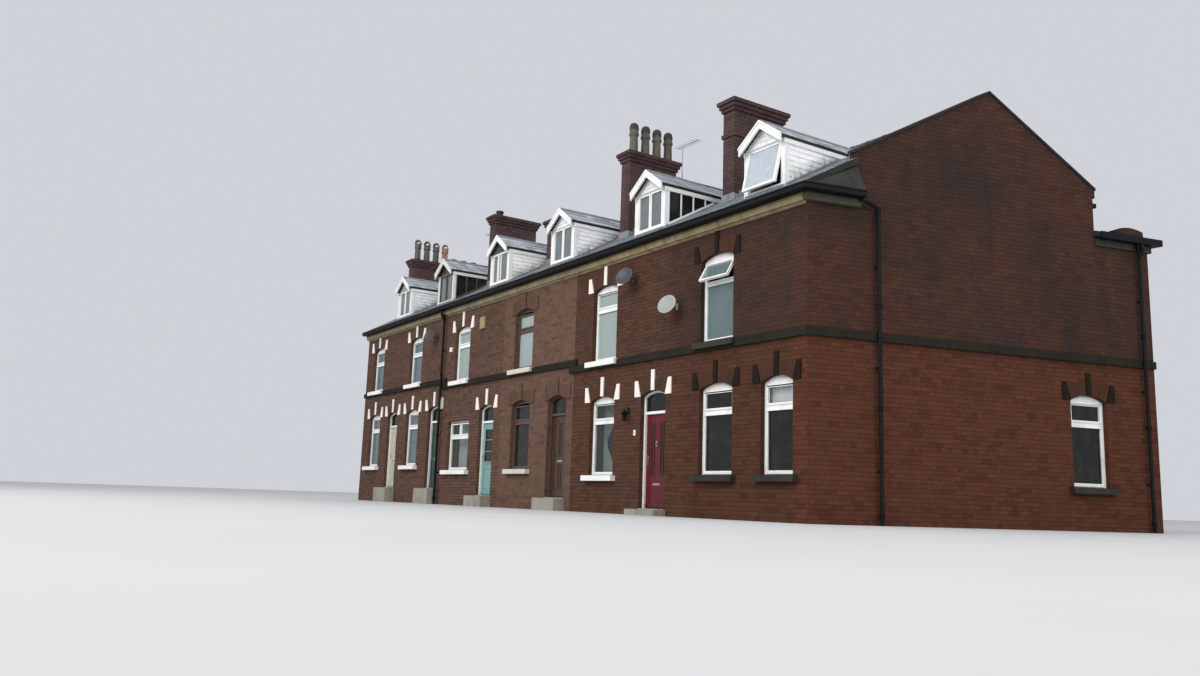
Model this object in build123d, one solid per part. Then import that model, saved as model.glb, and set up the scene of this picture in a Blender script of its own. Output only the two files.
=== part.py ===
from build123d import *
import math
import os

# A row of six brick terraced houses with attic dormers, seen from a street corner.
# Millimetres. While it is modelled, X runs along the front with 0 at the corner and the
# houses on the negative side, Y runs back from the front face and Z up from the ground.
# At the end everything moves so that the origin is the middle of the base.

# The houses, from the corner to the left end
FRONTAGES = [3600, 3900, 3600, 3600, 3250, 3250]
LEVELS = [0, 0, 1, 1, 2, 2]
WINDOW_OFFSETS = [2390, 2665, 2510, 2530, 2310, 2260]
DOOR_OFFSETS = [None, 775, 720, 810, 660, 690]
DORMER_OFFSETS = [1295, 1320, 1090, 840, 790, 790]
LEVEL_STEP = 164

# Walls
WALL = 330
PARTY_WALL = 230
WING_WALL = 230
DEPTH = 6380
SIDE_SKEW = 13.5

# Floors
FLOOR_TOP = 140
GROUND_FLOOR_THICKNESS = 140
FIRST_FLOOR_TOP = 2900
ATTIC_FLOOR_TOP = 5480
FLOOR_THICKNESS = 200

# Main roof, its thickness measured straight down
ROOF_AT_FRONT = 5965
FRONT_PITCH = 29.2
REAR_PITCH = 32.7
RIDGE_DEPTH = 3950
ROOF_THICKNESS = 130
EAVES_OVERHANG = 60
VERGE_OVERHANG = 40
EAVES_RETURN = 1050
PARAPET_WIDTH = 230
PARAPET_RISE = 115
COPING_THICKNESS = 50
COPING_OVERHANG = 30
KNEELER_LENGTH = 60
KNEELER_HEIGHT = 150
RIDGE_TILE_WIDTH = 260
RIDGE_TILE_RISE = 60

# Windows and doors in the brickwork
ARCH_RISE = 110
WINDOW_WIDTH = 960
GROUND_SILL = 810
GROUND_SPRING = 2450
UPPER_SILL_ABOVE_SPRING = 905
UPPER_SILL = GROUND_SPRING + UPPER_SILL_ABOVE_SPRING
UPPER_SPRINGS = [4990, 4990, 5072]
CORNER_WINDOW_OFFSET = 735
CORNER_WINDOW_WIDTH = 810
WIDE_WINDOW_HOUSE = 3
WIDE_WINDOW_WIDTH = 1370
WIDE_WINDOW_HEAD = 2200
SIDE_WINDOW_PLACE = 6205
SIDE_WINDOW_WIDTH = 890
DOOR_WIDTH = 850
REVEAL = 100

# Window joinery
FRAME_DEPTH = 70
FRAME_WIDTH = 60
TRANSOM_HEIGHT = 50
TOP_LIGHT = 430
GLASS = 20

# Door joinery
DOOR_FRAME_WIDTH = 45
DOOR_FRAME_DEPTH = 90
LEAF_HEIGHT = 1920
LEAF_THICKNESS = 44
LEAF_GAP = 8
HINGE_STANDOFF = 8
THRESHOLD_GAP = 10
HINGE_RADIUS = 7
HINGE_KNUCKLE = 35
HINGE_PLATE = 3
HINGE_PLATE_WIDTH = 32
HINGE_GAP = 0.3
HINGE_HEIGHTS = [180, 960, 1700]
DOOR_TRANSOM = 55
STEP_DEPTH = 300
STEP_SIDE = 75
STEP_BELOW_FLOOR = 20

# Sills, string course, cornice and gutters
SILL_HEIGHT = 115
SILL_PROJECTION = 130
SILL_EAR = 110
SILL_ABOVE_STRING = 50
STRING_HEIGHT = 145
STRING_PROJECTION = 60
CORNICE_BELOW_ROOF = 390
CORNICE_HEIGHT = 135
CORNICE_PROJECTION = 100
GUTTER_PROJECTION = 280
GUTTER_HEIGHT = 120
GUTTER_BACK = 60
GUTTER_SHELL = 25
REAR_GUTTER_WIDTH = 130
REAR_GUTTER_HEIGHT = 90
WING_GUTTER_HEIGHT = 130
PIPE_RADIUS = 38
PIPE_GAP = 5
PIPE_STRAP_SPACING = 1800
SIDE_PIPE_PLACE = 1410
WING_PIPE_FROM_BACK = 340
FRONT_PIPE_OFFSET = 80

# Rear wings
WING_LENGTH = 1340
WING_WIDTH = 2000
CORNER_WING_EDGE = 900
WING_BELOW_EAVES = 725
WING_PITCH = 10
WING_ROOF_THICKNESS = 110
WING_BAND_BELOW_EAVES = 200
ATTIC_BAND_BELOW_FLOOR = 30
REAR_WINDOW_INSET = 650
REAR_WINDOW_WIDTH = 900
SIDE_STACK_LENGTH = 680
SIDE_STACK_WIDTH = 340
SIDE_STACK_RISE = 285
SIDE_STACK_CROWN = 60

# Stones over the front openings: two side stones with slanted inner edges and a taller key stone
HEAD_STONE_HEIGHT = 340
HEAD_STONE_TOP = 100
HEAD_STONE_FOOT = 200
KEY_STONE_WIDTH = 110
KEY_STONE_HEIGHT = 430
HEAD_STONE_PROJECTION = 25

# Dormers, their eaves measured up from the main roof at the dormer's front, and their ridge from those eaves
DORMER_FRONT = 200
DORMER_WIDTH = 1050
DORMER_WALL = 90
DORMER_EAVES = 985
DORMER_RIDGE = 410
DORMER_ROOF_THICKNESS = 60
DORMER_OVERHANG = 45
DORMER_NOSE = 110
BARGE_DEPTH = 150
BARGE_THICKNESS = 40
DORMER_APRON = 70
DORMER_POST = 80
DORMER_HEAD = 40
CASEMENT_DEPTH = 50
CASEMENT_BAR = 50
CASEMENT_COUNTS = [1, 2, 2, 2, 2, 2]
OPEN_CASEMENTS = [True, False, False, False, False, False]
OPEN_ANGLE = 13
DORMER_WELL_END = 1500

# Chimneys
STACK_WIDTH = 360
STACK_LENGTH = 1450
STACK_FRONT = 1300
STACKS_ABOVE_ROOF = [1465, 1395, 445, 1390, 445, 1195]
CAP_COURSE = 82
CAP_STEP = 37
COURSE_COUNTS = [3, 3, 3, 3, 1, 3]
BANDED_STACK_NUMBER = 1
BAND_DROP = 830
BAND_OUT = 30
FLASHING_GAP = 5
POT_RADIUS = 120
POT_WALL = 22
POT_RIM = 60
POT_TAPER = 18
TALL_POT = 840
SHORT_POT = 210
POT_SPACING = 360
POT_START = 220
POT_COUNTS = [0, 4, 1, 1, 3, 4]
TALL_POTS = [False, True, False, False, False, True]

# Fittings
DISH_RADIUS = 210
DISH_BULGE = 45
DISH_THICKNESS = 12
DISH_ARM = 260
ARM_RADIUS = 16
DISH_TURN = 20
DISH_TILT = 20
DISH_LINE_NUMBERS = [1, 1, 4]
DISH_OFFSETS = [1570, 20, 760]
DISHES_BELOW_CORNICE = [515, 1365, 575]
DISH_PLATE_WIDTH = 60
DISH_PLATE_HEIGHT = 130
AERIAL_LINE_NUMBERS = [2, 5]
AERIALS_ABOVE_STACK = [600, 1350]
AERIAL_STANDOFFS = [340, 90]
AERIAL_MAST_RADIUS = 14
AERIAL_BRACKET_DROP = 50
AERIAL_BRACKET_SPACING = 100
AERIAL_BOOM = 900
AERIAL_ROD = 10
AERIAL_ROD_LENGTH = 300
AERIAL_ROD_COUNT = 8

# Long enough to reach past any part of the row
FAR = 40000
BEYOND = 1

# Places worked out from the sizes
HOUSES = range(len(FRONTAGES))
SKEW = math.radians(SIDE_SKEW)
FRONT_SLOPE = math.tan(math.radians(FRONT_PITCH))
REAR_SLOPE = math.tan(math.radians(REAR_PITCH))
WING_SLOPE = math.tan(math.radians(WING_PITCH))
RIDGE_TOP = ROOF_AT_FRONT + RIDGE_DEPTH * FRONT_SLOPE
REAR_EAVES = RIDGE_TOP - (DEPTH - RIDGE_DEPTH) * REAR_SLOPE - ROOF_THICKNESS
REAR_INSIDE = DEPTH - WALL
WING_BACK = DEPTH + WING_LENGTH
LINES = [-sum(FRONTAGES[:i]) for i in range(len(FRONTAGES) + 1)]
LEFT_END = LINES[-1] - PARTY_WALL / 2
SIDE = Rot(0, 0, 90 - SIDE_SKEW)
SIDE_BACK = WING_BACK / math.cos(SKEW)
STRING_LOW = UPPER_SILL - SILL_HEIGHT - SILL_ABOVE_STRING
CORNICE_LOW = ROOF_AT_FRONT - CORNICE_BELOW_ROOF
GUTTER_LOW = CORNICE_LOW + CORNICE_HEIGHT
WING_EAVES = REAR_EAVES - WING_BELOW_EAVES
WING_BAND_LOW = WING_EAVES - WING_BAND_BELOW_EAVES
ATTIC_BAND_LOW = ATTIC_FLOOR_TOP - ATTIC_BAND_BELOW_FLOOR
SIDE_STACK_END = SIDE_BACK - SIDE_STACK_WIDTH * math.tan(SKEW)
SIDE_STACK_START = SIDE_STACK_END - SIDE_STACK_LENGTH
SIDE_STACK_TOP = WING_EAVES + SIDE_STACK_RISE
DORMER_BASE = ROOF_AT_FRONT + DORMER_FRONT * FRONT_SLOPE
DORMER_EAVES_TOP = DORMER_BASE + DORMER_EAVES
DORMER_RIDGE_TOP = DORMER_EAVES_TOP + DORMER_RIDGE
STACK_BACK = STACK_FRONT + STACK_LENGTH
STACK_TOPS = [ROOF_AT_FRONT + STACK_BACK * FRONT_SLOPE + rise for rise in STACKS_ABOVE_ROOF]


def lift(house):
    return LEVELS[house] * LEVEL_STEP


def box(x0, x1, y0, y1, z0, z1):
    return Pos((x0 + x1) / 2, (y0 + y1) / 2, (z0 + z1) / 2) * Box(x1 - x0, y1 - y0, z1 - z0)


def plan(points, z0, z1):
    """A plan outline raised from z0 to z1."""
    return extrude(Pos(0, 0, z0) * make_face(Polyline(*points, close=True)), amount=z1 - z0, dir=(0, 0, 1))


def section(points, x0, x1):
    """An outline of (y, z) points carried along X from x0 to x1."""
    face = make_face(Polyline(*[(x0, y, z) for y, z in points], close=True))
    return extrude(face, amount=x1 - x0, dir=(1, 0, 0))


def elevation(points, y0, y1):
    """An outline of (x, z) points carried along Y from y0 to y1."""
    face = make_face(Polyline(*[(x, y0, z) for x, z in points], close=True))
    return extrude(face, amount=y1 - y0, dir=(0, 1, 0))


def on_side(out, along):
    """Plan point at a distance along the side wall and out from its face."""
    return (out * math.cos(SKEW) + along * math.sin(SKEW), along * math.cos(SKEW) - out * math.sin(SKEW))


def meet(out, y):
    """Plan point at depth y on the line that runs beside the side wall."""
    return ((out + y * math.sin(SKEW)) / math.cos(SKEW), y)


def front_at(x):
    return Pos(x, 0, 0)


def side_at(along):
    return SIDE * Pos(along, 0, 0)


def rear_at(x, y=DEPTH):
    return Pos(x, y, 0) * Rot(0, 0, 180)


def right_face(house, depth):
    """X of the inside face of a house's right wall at a depth."""
    if house == 0:
        return meet(-WALL, depth)[0]
    return LINES[house] - PARTY_WALL / 2


def left_face(house):
    return LINES[house + 1] + PARTY_WALL / 2


def arched(width, bottom, spring, rise, y0, y1):
    """A round-headed block for an opening, its outer face at y0."""
    half = width / 2
    outline = Polyline((-half, y0, spring), (-half, y0, bottom), (half, y0, bottom), (half, y0, spring))
    if rise > 0:
        head = ThreePointArc((half, y0, spring), (0, y0, spring + rise), (-half, y0, spring))
    else:
        head = Line((half, y0, spring), (-half, y0, spring))
    return extrude(make_face(outline + head), amount=y1 - y0, dir=(0, 1, 0))


# Openings, each with its place on a wall's outer face

def window(place, width, bottom, spring, rise=ARCH_RISE):
    return {"place": place, "width": width, "bottom": bottom, "spring": spring, "rise": rise}


def front_windows():
    found = []
    for house in HOUSES:
        place = front_at(LINES[house] - WINDOW_OFFSETS[house])
        up = lift(house)
        found.append(window(place, WINDOW_WIDTH, UPPER_SILL + up, UPPER_SPRINGS[LEVELS[house]]))
        if house == WIDE_WINDOW_HOUSE:
            found.append(window(place, WIDE_WINDOW_WIDTH, GROUND_SILL + up, WIDE_WINDOW_HEAD + up, 0))
        else:
            found.append(window(place, WINDOW_WIDTH, GROUND_SILL + up, GROUND_SPRING + up))
    found.append(window(front_at(-CORNER_WINDOW_OFFSET), CORNER_WINDOW_WIDTH, GROUND_SILL, GROUND_SPRING))
    return found


def side_window():
    return window(side_at(SIDE_WINDOW_PLACE), SIDE_WINDOW_WIDTH, GROUND_SILL, GROUND_SPRING)


def door_x(house):
    return LINES[house] - DOOR_OFFSETS[house]


def door_houses():
    return [house for house in HOUSES if DOOR_OFFSETS[house] is not None]


def door_opening(house):
    return window(front_at(door_x(house)), DOOR_WIDTH, -BEYOND, GROUND_SPRING + lift(house))


def cutter(opening):
    width, bottom, spring, rise = (opening[key] for key in ("width", "bottom", "spring", "rise"))
    return opening["place"] * arched(width, bottom, spring, rise, -BEYOND, WALL + BEYOND)


# Roof surfaces

def roof_top(y):
    if y <= RIDGE_DEPTH:
        return ROOF_AT_FRONT + y * FRONT_SLOPE
    return RIDGE_TOP - (y - RIDGE_DEPTH) * REAR_SLOPE


def below_roof(drop):
    """All the space below the main roof, from a distance straight down from its upper face."""
    points = [(-WALL, -BEYOND), (-WALL, roof_top(-WALL) - drop), (RIDGE_DEPTH, RIDGE_TOP - drop),
              (DEPTH, roof_top(DEPTH) - drop), (DEPTH, -BEYOND)]
    return section(points, -FAR, FAR)


def under_roof():
    """All the space below the main roof's underside."""
    return below_roof(ROOF_THICKNESS)


def above_roof():
    """All the space above the front slope of the main roof."""
    points = [(-WALL, roof_top(-WALL)), (RIDGE_DEPTH, RIDGE_TOP), (RIDGE_DEPTH, 2 * RIDGE_TOP),
              (-WALL, 2 * RIDGE_TOP)]
    return section(points, -FAR, FAR)


def roof_layer(low, high, back):
    """The layer between two heights above the main roof, as far back as a depth."""
    points = [(0, roof_top(0) + low), (RIDGE_DEPTH, RIDGE_TOP + low), (back, roof_top(back) + low),
              (back, roof_top(back) + high), (RIDGE_DEPTH, RIDGE_TOP + high), (0, roof_top(0) + high)]
    return section(points, -FAR, FAR)


def parapet_space():
    """The room that the side wall's parapet takes out of the roof, past the end of the eaves' return."""
    return SIDE * box(EAVES_RETURN, FAR, -2 * VERGE_OVERHANG, PARAPET_WIDTH, 0, 2 * RIDGE_TOP)


# Walls

def front_plate(x_left, z0, z1, x_right=None):
    right = [meet(-WALL, 0), meet(-WALL, WALL)] if x_right is None else [(x_right, 0), (x_right, WALL)]
    return plan([(x_left, 0), right[0], right[1], (x_left, WALL)], z0, z1)


def pair_bounds(pair):
    right = None if pair == 0 else LINES[2 * pair]
    left = LEFT_END if 2 * pair + 2 == len(FRONTAGES) else LINES[2 * pair + 2]
    return left, right


def front_wall_ground():
    wall = None
    for pair in range(3):
        left, right = pair_bounds(pair)
        plate = front_plate(left, 0, GROUND_SPRING + lift(2 * pair), right)
        wall = plate if wall is None else wall + plate
    for opening in front_windows() + [door_opening(house) for house in door_houses()]:
        wall = wall - cutter(opening)
    return wall


def front_wall_upper(pair):
    left, right = pair_bounds(pair)
    wall = front_plate(left, GROUND_SPRING + lift(2 * pair), RIDGE_TOP, right) & under_roof()
    for opening in front_windows():
        wall = wall - cutter(opening)
    for house in door_houses():
        if house // 2 == pair:
            wall = wall - cutter(door_opening(house))
    return wall


def corner_wing_roof_under():
    """All the space below the corner wing's roof."""
    reach = 3 * WING_WIDTH
    points = [(-WALL, -BEYOND), (reach, -BEYOND), (reach, WING_EAVES + reach * WING_SLOPE),
              (-WALL, WING_EAVES - WALL * WING_SLOPE)]
    return SIDE * section(points, 0, 2 * SIDE_BACK)


def side_wall():
    outline = [(0, 0), meet(0, WING_BACK), meet(-WALL, WING_BACK), meet(-WALL, 0)]
    block = plan(outline, 0, 2 * RIDGE_TOP)
    main = block & under_roof()
    parapet = block & parapet_space() & below_roof(-PARAPET_RISE)
    behind = box(-WALL, FAR, DEPTH, FAR, -BEYOND, RIDGE_TOP)
    wing = block & behind & corner_wing_roof_under()
    return main + parapet + wing - cutter(side_window())


def wing_shell_under(wing):
    """All the space below a wing's roof, for the wings away from the corner."""
    low, right, left, ridge = WING_EAVES, wing["right"], wing["left"], wing["ridge"]
    points = [(right, -BEYOND), (right, low), (ridge, low + (right - ridge) * WING_SLOPE)]
    if ridge > left:
        points.append((left, low))
    points.append((left, -BEYOND))
    return elevation(points, 0, FAR)


def wings():
    """The rear wings away from the corner: two shared ones and a single one at the left end."""
    shared = [{"right": LINES[i] + WING_WIDTH, "left": LINES[i] - WING_WIDTH, "ridge": LINES[i], "houses": (i - 1, i)}
              for i in (2, 4)]
    end = {"right": LEFT_END + WING_WIDTH, "left": LEFT_END, "ridge": LEFT_END, "houses": (len(FRONTAGES) - 1,)}
    return shared + [end]


def attic_band_space():
    return box(-FAR, FAR, REAR_INSIDE, DEPTH, ATTIC_BAND_LOW, RIDGE_TOP)


def left_end_wall():
    main = box(LEFT_END, LEFT_END + PARTY_WALL, WALL, DEPTH, 0, RIDGE_TOP) & under_roof()
    end = wings()[-1]
    wing = box(LEFT_END, LEFT_END + PARTY_WALL, DEPTH, WING_BACK, 0, RIDGE_TOP) & wing_shell_under(end)
    return main + wing


def party_walls():
    walls = [box(line - PARTY_WALL / 2, line + PARTY_WALL / 2, WALL, REAR_INSIDE, 0, RIDGE_TOP) & under_roof()
             for line in LINES[1:-1]]
    return walls


def rear_spans():
    """X from and to of the rear wall between the wings, with the houses behind each."""
    row = wings()
    return [(row[0]["right"], -CORNER_WING_EDGE, (0, 1)), (row[1]["right"], row[0]["left"], (2, 3)),
            (row[2]["right"], row[1]["left"], (4, 5))]


def rear_windows():
    found = []
    for left, right, houses in rear_spans():
        line = LINES[houses[1]]
        for house, side in zip(houses, (1, -1)):
            for bottom, spring in ((GROUND_SILL + lift(house), GROUND_SPRING + lift(house)),
                                   (UPPER_SILL + lift(house), UPPER_SPRINGS[LEVELS[house]])):
                found.append(window(rear_at(line + side * REAR_WINDOW_INSET), REAR_WINDOW_WIDTH, bottom, spring))
    return found


def rear_walls():
    walls = []
    for left, right, houses in rear_spans():
        wall = box(left, right, REAR_INSIDE, DEPTH, 0, ATTIC_BAND_LOW)
        for opening in rear_windows():
            wall = wall - cutter(opening)
        walls.append(wall)
    return walls


def rear_wall_attic():
    right = [meet(-WALL, REAR_INSIDE), meet(-WALL, DEPTH)]
    left = LEFT_END + PARTY_WALL
    outline = [(left, REAR_INSIDE), right[0], right[1], (left, DEPTH)]
    band = plan(outline, ATTIC_BAND_LOW, RIDGE_TOP) & under_roof()
    for opening in rear_windows():
        band = band - cutter(opening)
    return band


def wing_side_walls():
    walls = []
    for wing in wings():
        xs = [(wing["right"] - WING_WALL, wing["right"])]
        if wing["ridge"] > wing["left"]:
            xs.append((wing["left"], wing["left"] + WING_WALL))
            xs.append((wing["ridge"] - PARTY_WALL / 2, wing["ridge"] + PARTY_WALL / 2))
        for x0, x1 in xs:
            wall = box(x0, x1, REAR_INSIDE, WING_BACK, 0, RIDGE_TOP) & wing_shell_under(wing)
            walls.append(wall - attic_band_space())
    corner = box(-CORNER_WING_EDGE, WING_WALL - CORNER_WING_EDGE, REAR_INSIDE, WING_BACK, 0, RIDGE_TOP)
    walls.append((corner & corner_wing_roof_under()) - attic_band_space())
    return walls


def wing_rooms():
    """Inside x from and to at the wing's back wall, with the house and the roof above, for every wing room."""
    rooms = []
    for wing in wings():
        roof = wing_shell_under(wing)
        inner_right = wing["right"] - WING_WALL
        if wing["ridge"] > wing["left"]:
            rooms.append((wing["ridge"] + PARTY_WALL / 2, inner_right, wing["houses"][0], roof))
            rooms.append((wing["left"] + WING_WALL, wing["ridge"] - PARTY_WALL / 2, wing["houses"][1], roof))
        else:
            rooms.append((wing["left"] + PARTY_WALL, inner_right, wing["houses"][0], roof))
    return rooms


def wing_openings():
    """The back door and the window over it, for every wing room and last for the corner wing."""
    found = []
    for x0, x1, house, roof in wing_rooms():
        found.append(((x0 + x1) / 2, house))
    corner_right = meet(-WALL, WING_BACK)[0]
    found.append(((WING_WALL - CORNER_WING_EDGE + corner_right) / 2, 0))
    doors = [window(rear_at(x, WING_BACK), DOOR_WIDTH, -BEYOND, back_door_head(house), 0) for x, house in found]
    uppers = [window(rear_at(x, WING_BACK), REAR_WINDOW_WIDTH, UPPER_SILL + lift(house), UPPER_SPRINGS[LEVELS[house]])
              for x, house in found]
    return doors, uppers


def back_door_head(house):
    return FLOOR_TOP + lift(house) + THRESHOLD_GAP + LEAF_HEIGHT + LEAF_GAP + DOOR_FRAME_WIDTH


def wing_rear_walls():
    walls = [box(x0, x1, WING_BACK - WALL, WING_BACK, 0, RIDGE_TOP) & roof for x0, x1, house, roof in wing_rooms()]
    inner = WING_WALL - CORNER_WING_EDGE
    corner = plan([(inner, WING_BACK - WALL), meet(-WALL, WING_BACK - WALL), meet(-WALL, WING_BACK), (inner, WING_BACK)],
                  0, RIDGE_TOP)
    walls.append(corner & corner_wing_roof_under())
    doors, uppers = wing_openings()
    cut = []
    for wall in walls:
        for opening in doors + uppers:
            wall = wall - cutter(opening)
        cut.append(wall)
    return cut


# Floors

def house_floor(house, top, thickness):
    left = left_face(house)
    outline = [(left, WALL), (right_face(house, WALL), WALL), (right_face(house, REAR_INSIDE), REAR_INSIDE),
               (left, REAR_INSIDE)]
    return plan(outline, top - thickness, top)


def ground_floors():
    return [house_floor(house, FLOOR_TOP + lift(house), GROUND_FLOOR_THICKNESS) for house in HOUSES]


def first_floors():
    return [house_floor(house, FIRST_FLOOR_TOP + lift(house), FLOOR_THICKNESS) for house in HOUSES]


def attic_floors():
    return [house_floor(house, ATTIC_FLOOR_TOP, FLOOR_THICKNESS) for house in HOUSES]


def wing_floors():
    floors = []
    levels = ((FLOOR_TOP, GROUND_FLOOR_THICKNESS), (FIRST_FLOOR_TOP, FLOOR_THICKNESS))
    back = WING_BACK - WALL
    for top, thickness in levels:
        for x0, x1, house, roof in wing_rooms():
            z1 = top + lift(house)
            floors.append(box(x0, x1, REAR_INSIDE, back, z1 - thickness, z1))
        inner = WING_WALL - CORNER_WING_EDGE
        outline = [(inner, REAR_INSIDE), meet(-WALL, REAR_INSIDE), meet(-WALL, back), (inner, back)]
        floors.append(plan(outline, top - thickness, top))
    return floors


# Roofs

def dormer_x(house):
    return LINES[house] - DORMER_OFFSETS[house]


def stack_x(line):
    """Middle of the stack on a party line, the last one flush with the end wall."""
    if line == len(FRONTAGES):
        return LEFT_END + STACK_WIDTH / 2
    return LINES[line]


def stack_box(line, gap, z0, z1):
    x = stack_x(line)
    left = x - STACK_WIDTH / 2 - gap
    right = x + STACK_WIDTH / 2 + gap
    return box(left, right, STACK_FRONT - gap, STACK_BACK + gap, z0, z1)


def roof_slope(y0, y1, x0, x1):
    points = [(y0, roof_top(y0)), (y1, roof_top(y1)), (y1, roof_top(y1) - ROOF_THICKNESS),
              (y0, roof_top(y0) - ROOF_THICKNESS)]
    return section(points, x0, x1)


def beyond_verge():
    return SIDE * box(-FAR, FAR, -FAR, -VERGE_OVERHANG, -FAR, FAR)


def past_corner():
    """X past the corner house's skewed side, at any depth of the row."""
    return meet(2 * VERGE_OVERHANG, WING_BACK)[0]


def front_roof(pair):
    left, right = pair_bounds(pair)
    slab = roof_slope(-EAVES_OVERHANG, RIDGE_DEPTH, left, past_corner() if right is None else right)
    if right is None:
        slab = slab - beyond_verge() - parapet_space()
    for house in (2 * pair, 2 * pair + 1):
        half = DORMER_WIDTH / 2 - DORMER_WALL
        x = dormer_x(house)
        slab = slab - box(x - half, x + half, DORMER_FRONT + DORMER_WALL, DORMER_WELL_END, 0, RIDGE_TOP)
    for line in range(1, len(FRONTAGES) + 1):
        slab = slab - stack_box(line, FLASHING_GAP, 0, 2 * RIDGE_TOP)
    return slab


def gable_coping():
    """The coping along the gable's parapet, with a kneeler stone under its lower end."""
    over = COPING_OVERHANG
    back = DEPTH + KNEELER_LENGTH
    strip = SIDE * box(EAVES_RETURN - over, FAR, -over, PARAPET_WIDTH + over, 0, 2 * RIDGE_TOP)
    coping = roof_layer(PARAPET_RISE, PARAPET_RISE + COPING_THICKNESS, back) & strip
    foot = [meet(0, DEPTH), meet(0, back), meet(-PARAPET_WIDTH, back), meet(-PARAPET_WIDTH, DEPTH)]
    kneeler = roof_layer(PARAPET_RISE - KNEELER_HEIGHT, PARAPET_RISE, back) & plan(foot, 0, 2 * RIDGE_TOP)
    return coping + kneeler


def rear_roof():
    slab = roof_slope(RIDGE_DEPTH, DEPTH + EAVES_OVERHANG, LEFT_END, past_corner())
    return slab - beyond_verge() - parapet_space()


def ridge_tiles():
    half = RIDGE_TILE_WIDTH / 2
    front, back = RIDGE_DEPTH - half, RIDGE_DEPTH + half
    points = [(front, roof_top(front)), (RIDGE_DEPTH, RIDGE_TOP), (back, roof_top(back)),
              (back, roof_top(back) + RIDGE_TILE_RISE / 2), (RIDGE_DEPTH, RIDGE_TOP + RIDGE_TILE_RISE),
              (front, roof_top(front) + RIDGE_TILE_RISE / 2)]
    return section(points, LEFT_END, past_corner()) - beyond_verge() - parapet_space()


def wing_roofs():
    roofs = []
    for wing in wings():
        under = wing_shell_under(wing)
        over = VERGE_OVERHANG
        right, left, ridge = wing["right"] + over, wing["left"], wing["ridge"]
        low = WING_EAVES - over * WING_SLOPE
        high = WING_EAVES + (wing["right"] - ridge) * WING_SLOPE
        thick = WING_ROOF_THICKNESS
        if ridge > left:
            points = [(right, low), (ridge, high), (left - over, low), (left - over, low + thick),
                      (ridge, high + thick), (right, low + thick)]
        else:
            points = [(right, low), (left, high), (left, high + thick), (right, low + thick)]
        roofs.append(elevation(points, DEPTH, WING_BACK + over) - under)
    over = VERGE_OVERHANG
    reach = 3 * WING_WIDTH
    slab = SIDE * section([(-over, WING_EAVES - over * WING_SLOPE), (reach, WING_EAVES + reach * WING_SLOPE),
                           (reach, WING_EAVES + reach * WING_SLOPE + WING_ROOF_THICKNESS),
                           (-over, WING_EAVES - over * WING_SLOPE + WING_ROOF_THICKNESS)], 0, 2 * SIDE_BACK)
    span = box(-CORNER_WING_EDGE - over, FAR, DEPTH, WING_BACK + over, 0, RIDGE_TOP)
    roofs.append((slab & span) - side_stack_space())
    return roofs


def side_stack_space():
    """The room that the side stack takes out of the corner wing's roof, right to the back."""
    return SIDE * box(SIDE_STACK_START, FAR, -2 * VERGE_OVERHANG, SIDE_STACK_WIDTH, 0, RIDGE_TOP)


def side_stack():
    """The low brick stack with a rounded top at the back of the side wall."""
    start, end = SIDE_STACK_START, SIDE_STACK_END
    shoulder = SIDE_STACK_TOP - SIDE_STACK_CROWN
    low = WING_EAVES - VERGE_OVERHANG * WING_SLOPE
    outline = Polyline((start, 0, shoulder), (start, 0, low), (end, 0, low), (end, 0, shoulder))
    crown = ThreePointArc((end, 0, shoulder), ((start + end) / 2, 0, SIDE_STACK_TOP), (start, 0, shoulder))
    block = SIDE * extrude(make_face(outline + crown), amount=SIDE_STACK_WIDTH, dir=(0, 1, 0))
    return block - corner_wing_roof_under()


# Chimneys

def cap_bottom(line):
    return STACK_TOPS[line - 1] - COURSE_COUNTS[line - 1] * CAP_COURSE


def chimney_stack(line):
    """A stack with its oversailing top courses, and on the first one a band lower down."""
    top = STACK_TOPS[line - 1]
    shaft = stack_box(line, 0, ROOF_AT_FRONT - ROOF_THICKNESS, cap_bottom(line)) - under_roof()
    stack = shaft
    for course in range(COURSE_COUNTS[line - 1]):
        z0 = cap_bottom(line) + course * CAP_COURSE
        stack = stack + (stack_box(line, (course + 1) * CAP_STEP, z0, z0 + CAP_COURSE) - below_roof(0))
    if line == BANDED_STACK_NUMBER:
        stack = stack + stack_box(line, BAND_OUT, top - BAND_DROP, top - BAND_DROP + CAP_COURSE)
    return stack


def chimney_stacks():
    return [chimney_stack(line) for line in range(1, len(FRONTAGES) + 1)]


def pot(height):
    """A clay pot, open at the top, drawn in a little below a thicker rim."""
    foot, neck = POT_RADIUS, POT_RADIUS - POT_TAPER
    bore = neck - POT_WALL
    outline = [(0, 0), (foot, 0), (neck, height - 2 * POT_RIM), (foot, height - POT_RIM), (foot, height), (bore, height),
               (bore, POT_RIM), (0, POT_RIM)]
    face = make_face(Polyline(*[(x, 0, z) for x, z in outline], close=True))
    return revolve(face, Axis.Z)


def chimney_pots():
    pots = []
    for index, count in enumerate(POT_COUNTS):
        line = index + 1
        height = TALL_POT if TALL_POTS[index] else SHORT_POT
        for number in range(count):
            y = STACK_FRONT + POT_START + number * POT_SPACING
            pots.append(Pos(stack_x(line), y, STACK_TOPS[index]) * pot(height))
    return pots


# Dormers, each modelled about its own middle line

def dormer_end(z):
    """Depth at which a level line meets the front slope."""
    return (z - ROOF_AT_FRONT) / FRONT_SLOPE


def dormer_roof_under(x):
    """Height of the dormer roof's underside, a distance from its middle line."""
    slope = DORMER_RIDGE / (DORMER_WIDTH / 2 + DORMER_OVERHANG)
    return DORMER_RIDGE_TOP - DORMER_ROOF_THICKNESS - x * slope


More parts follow.
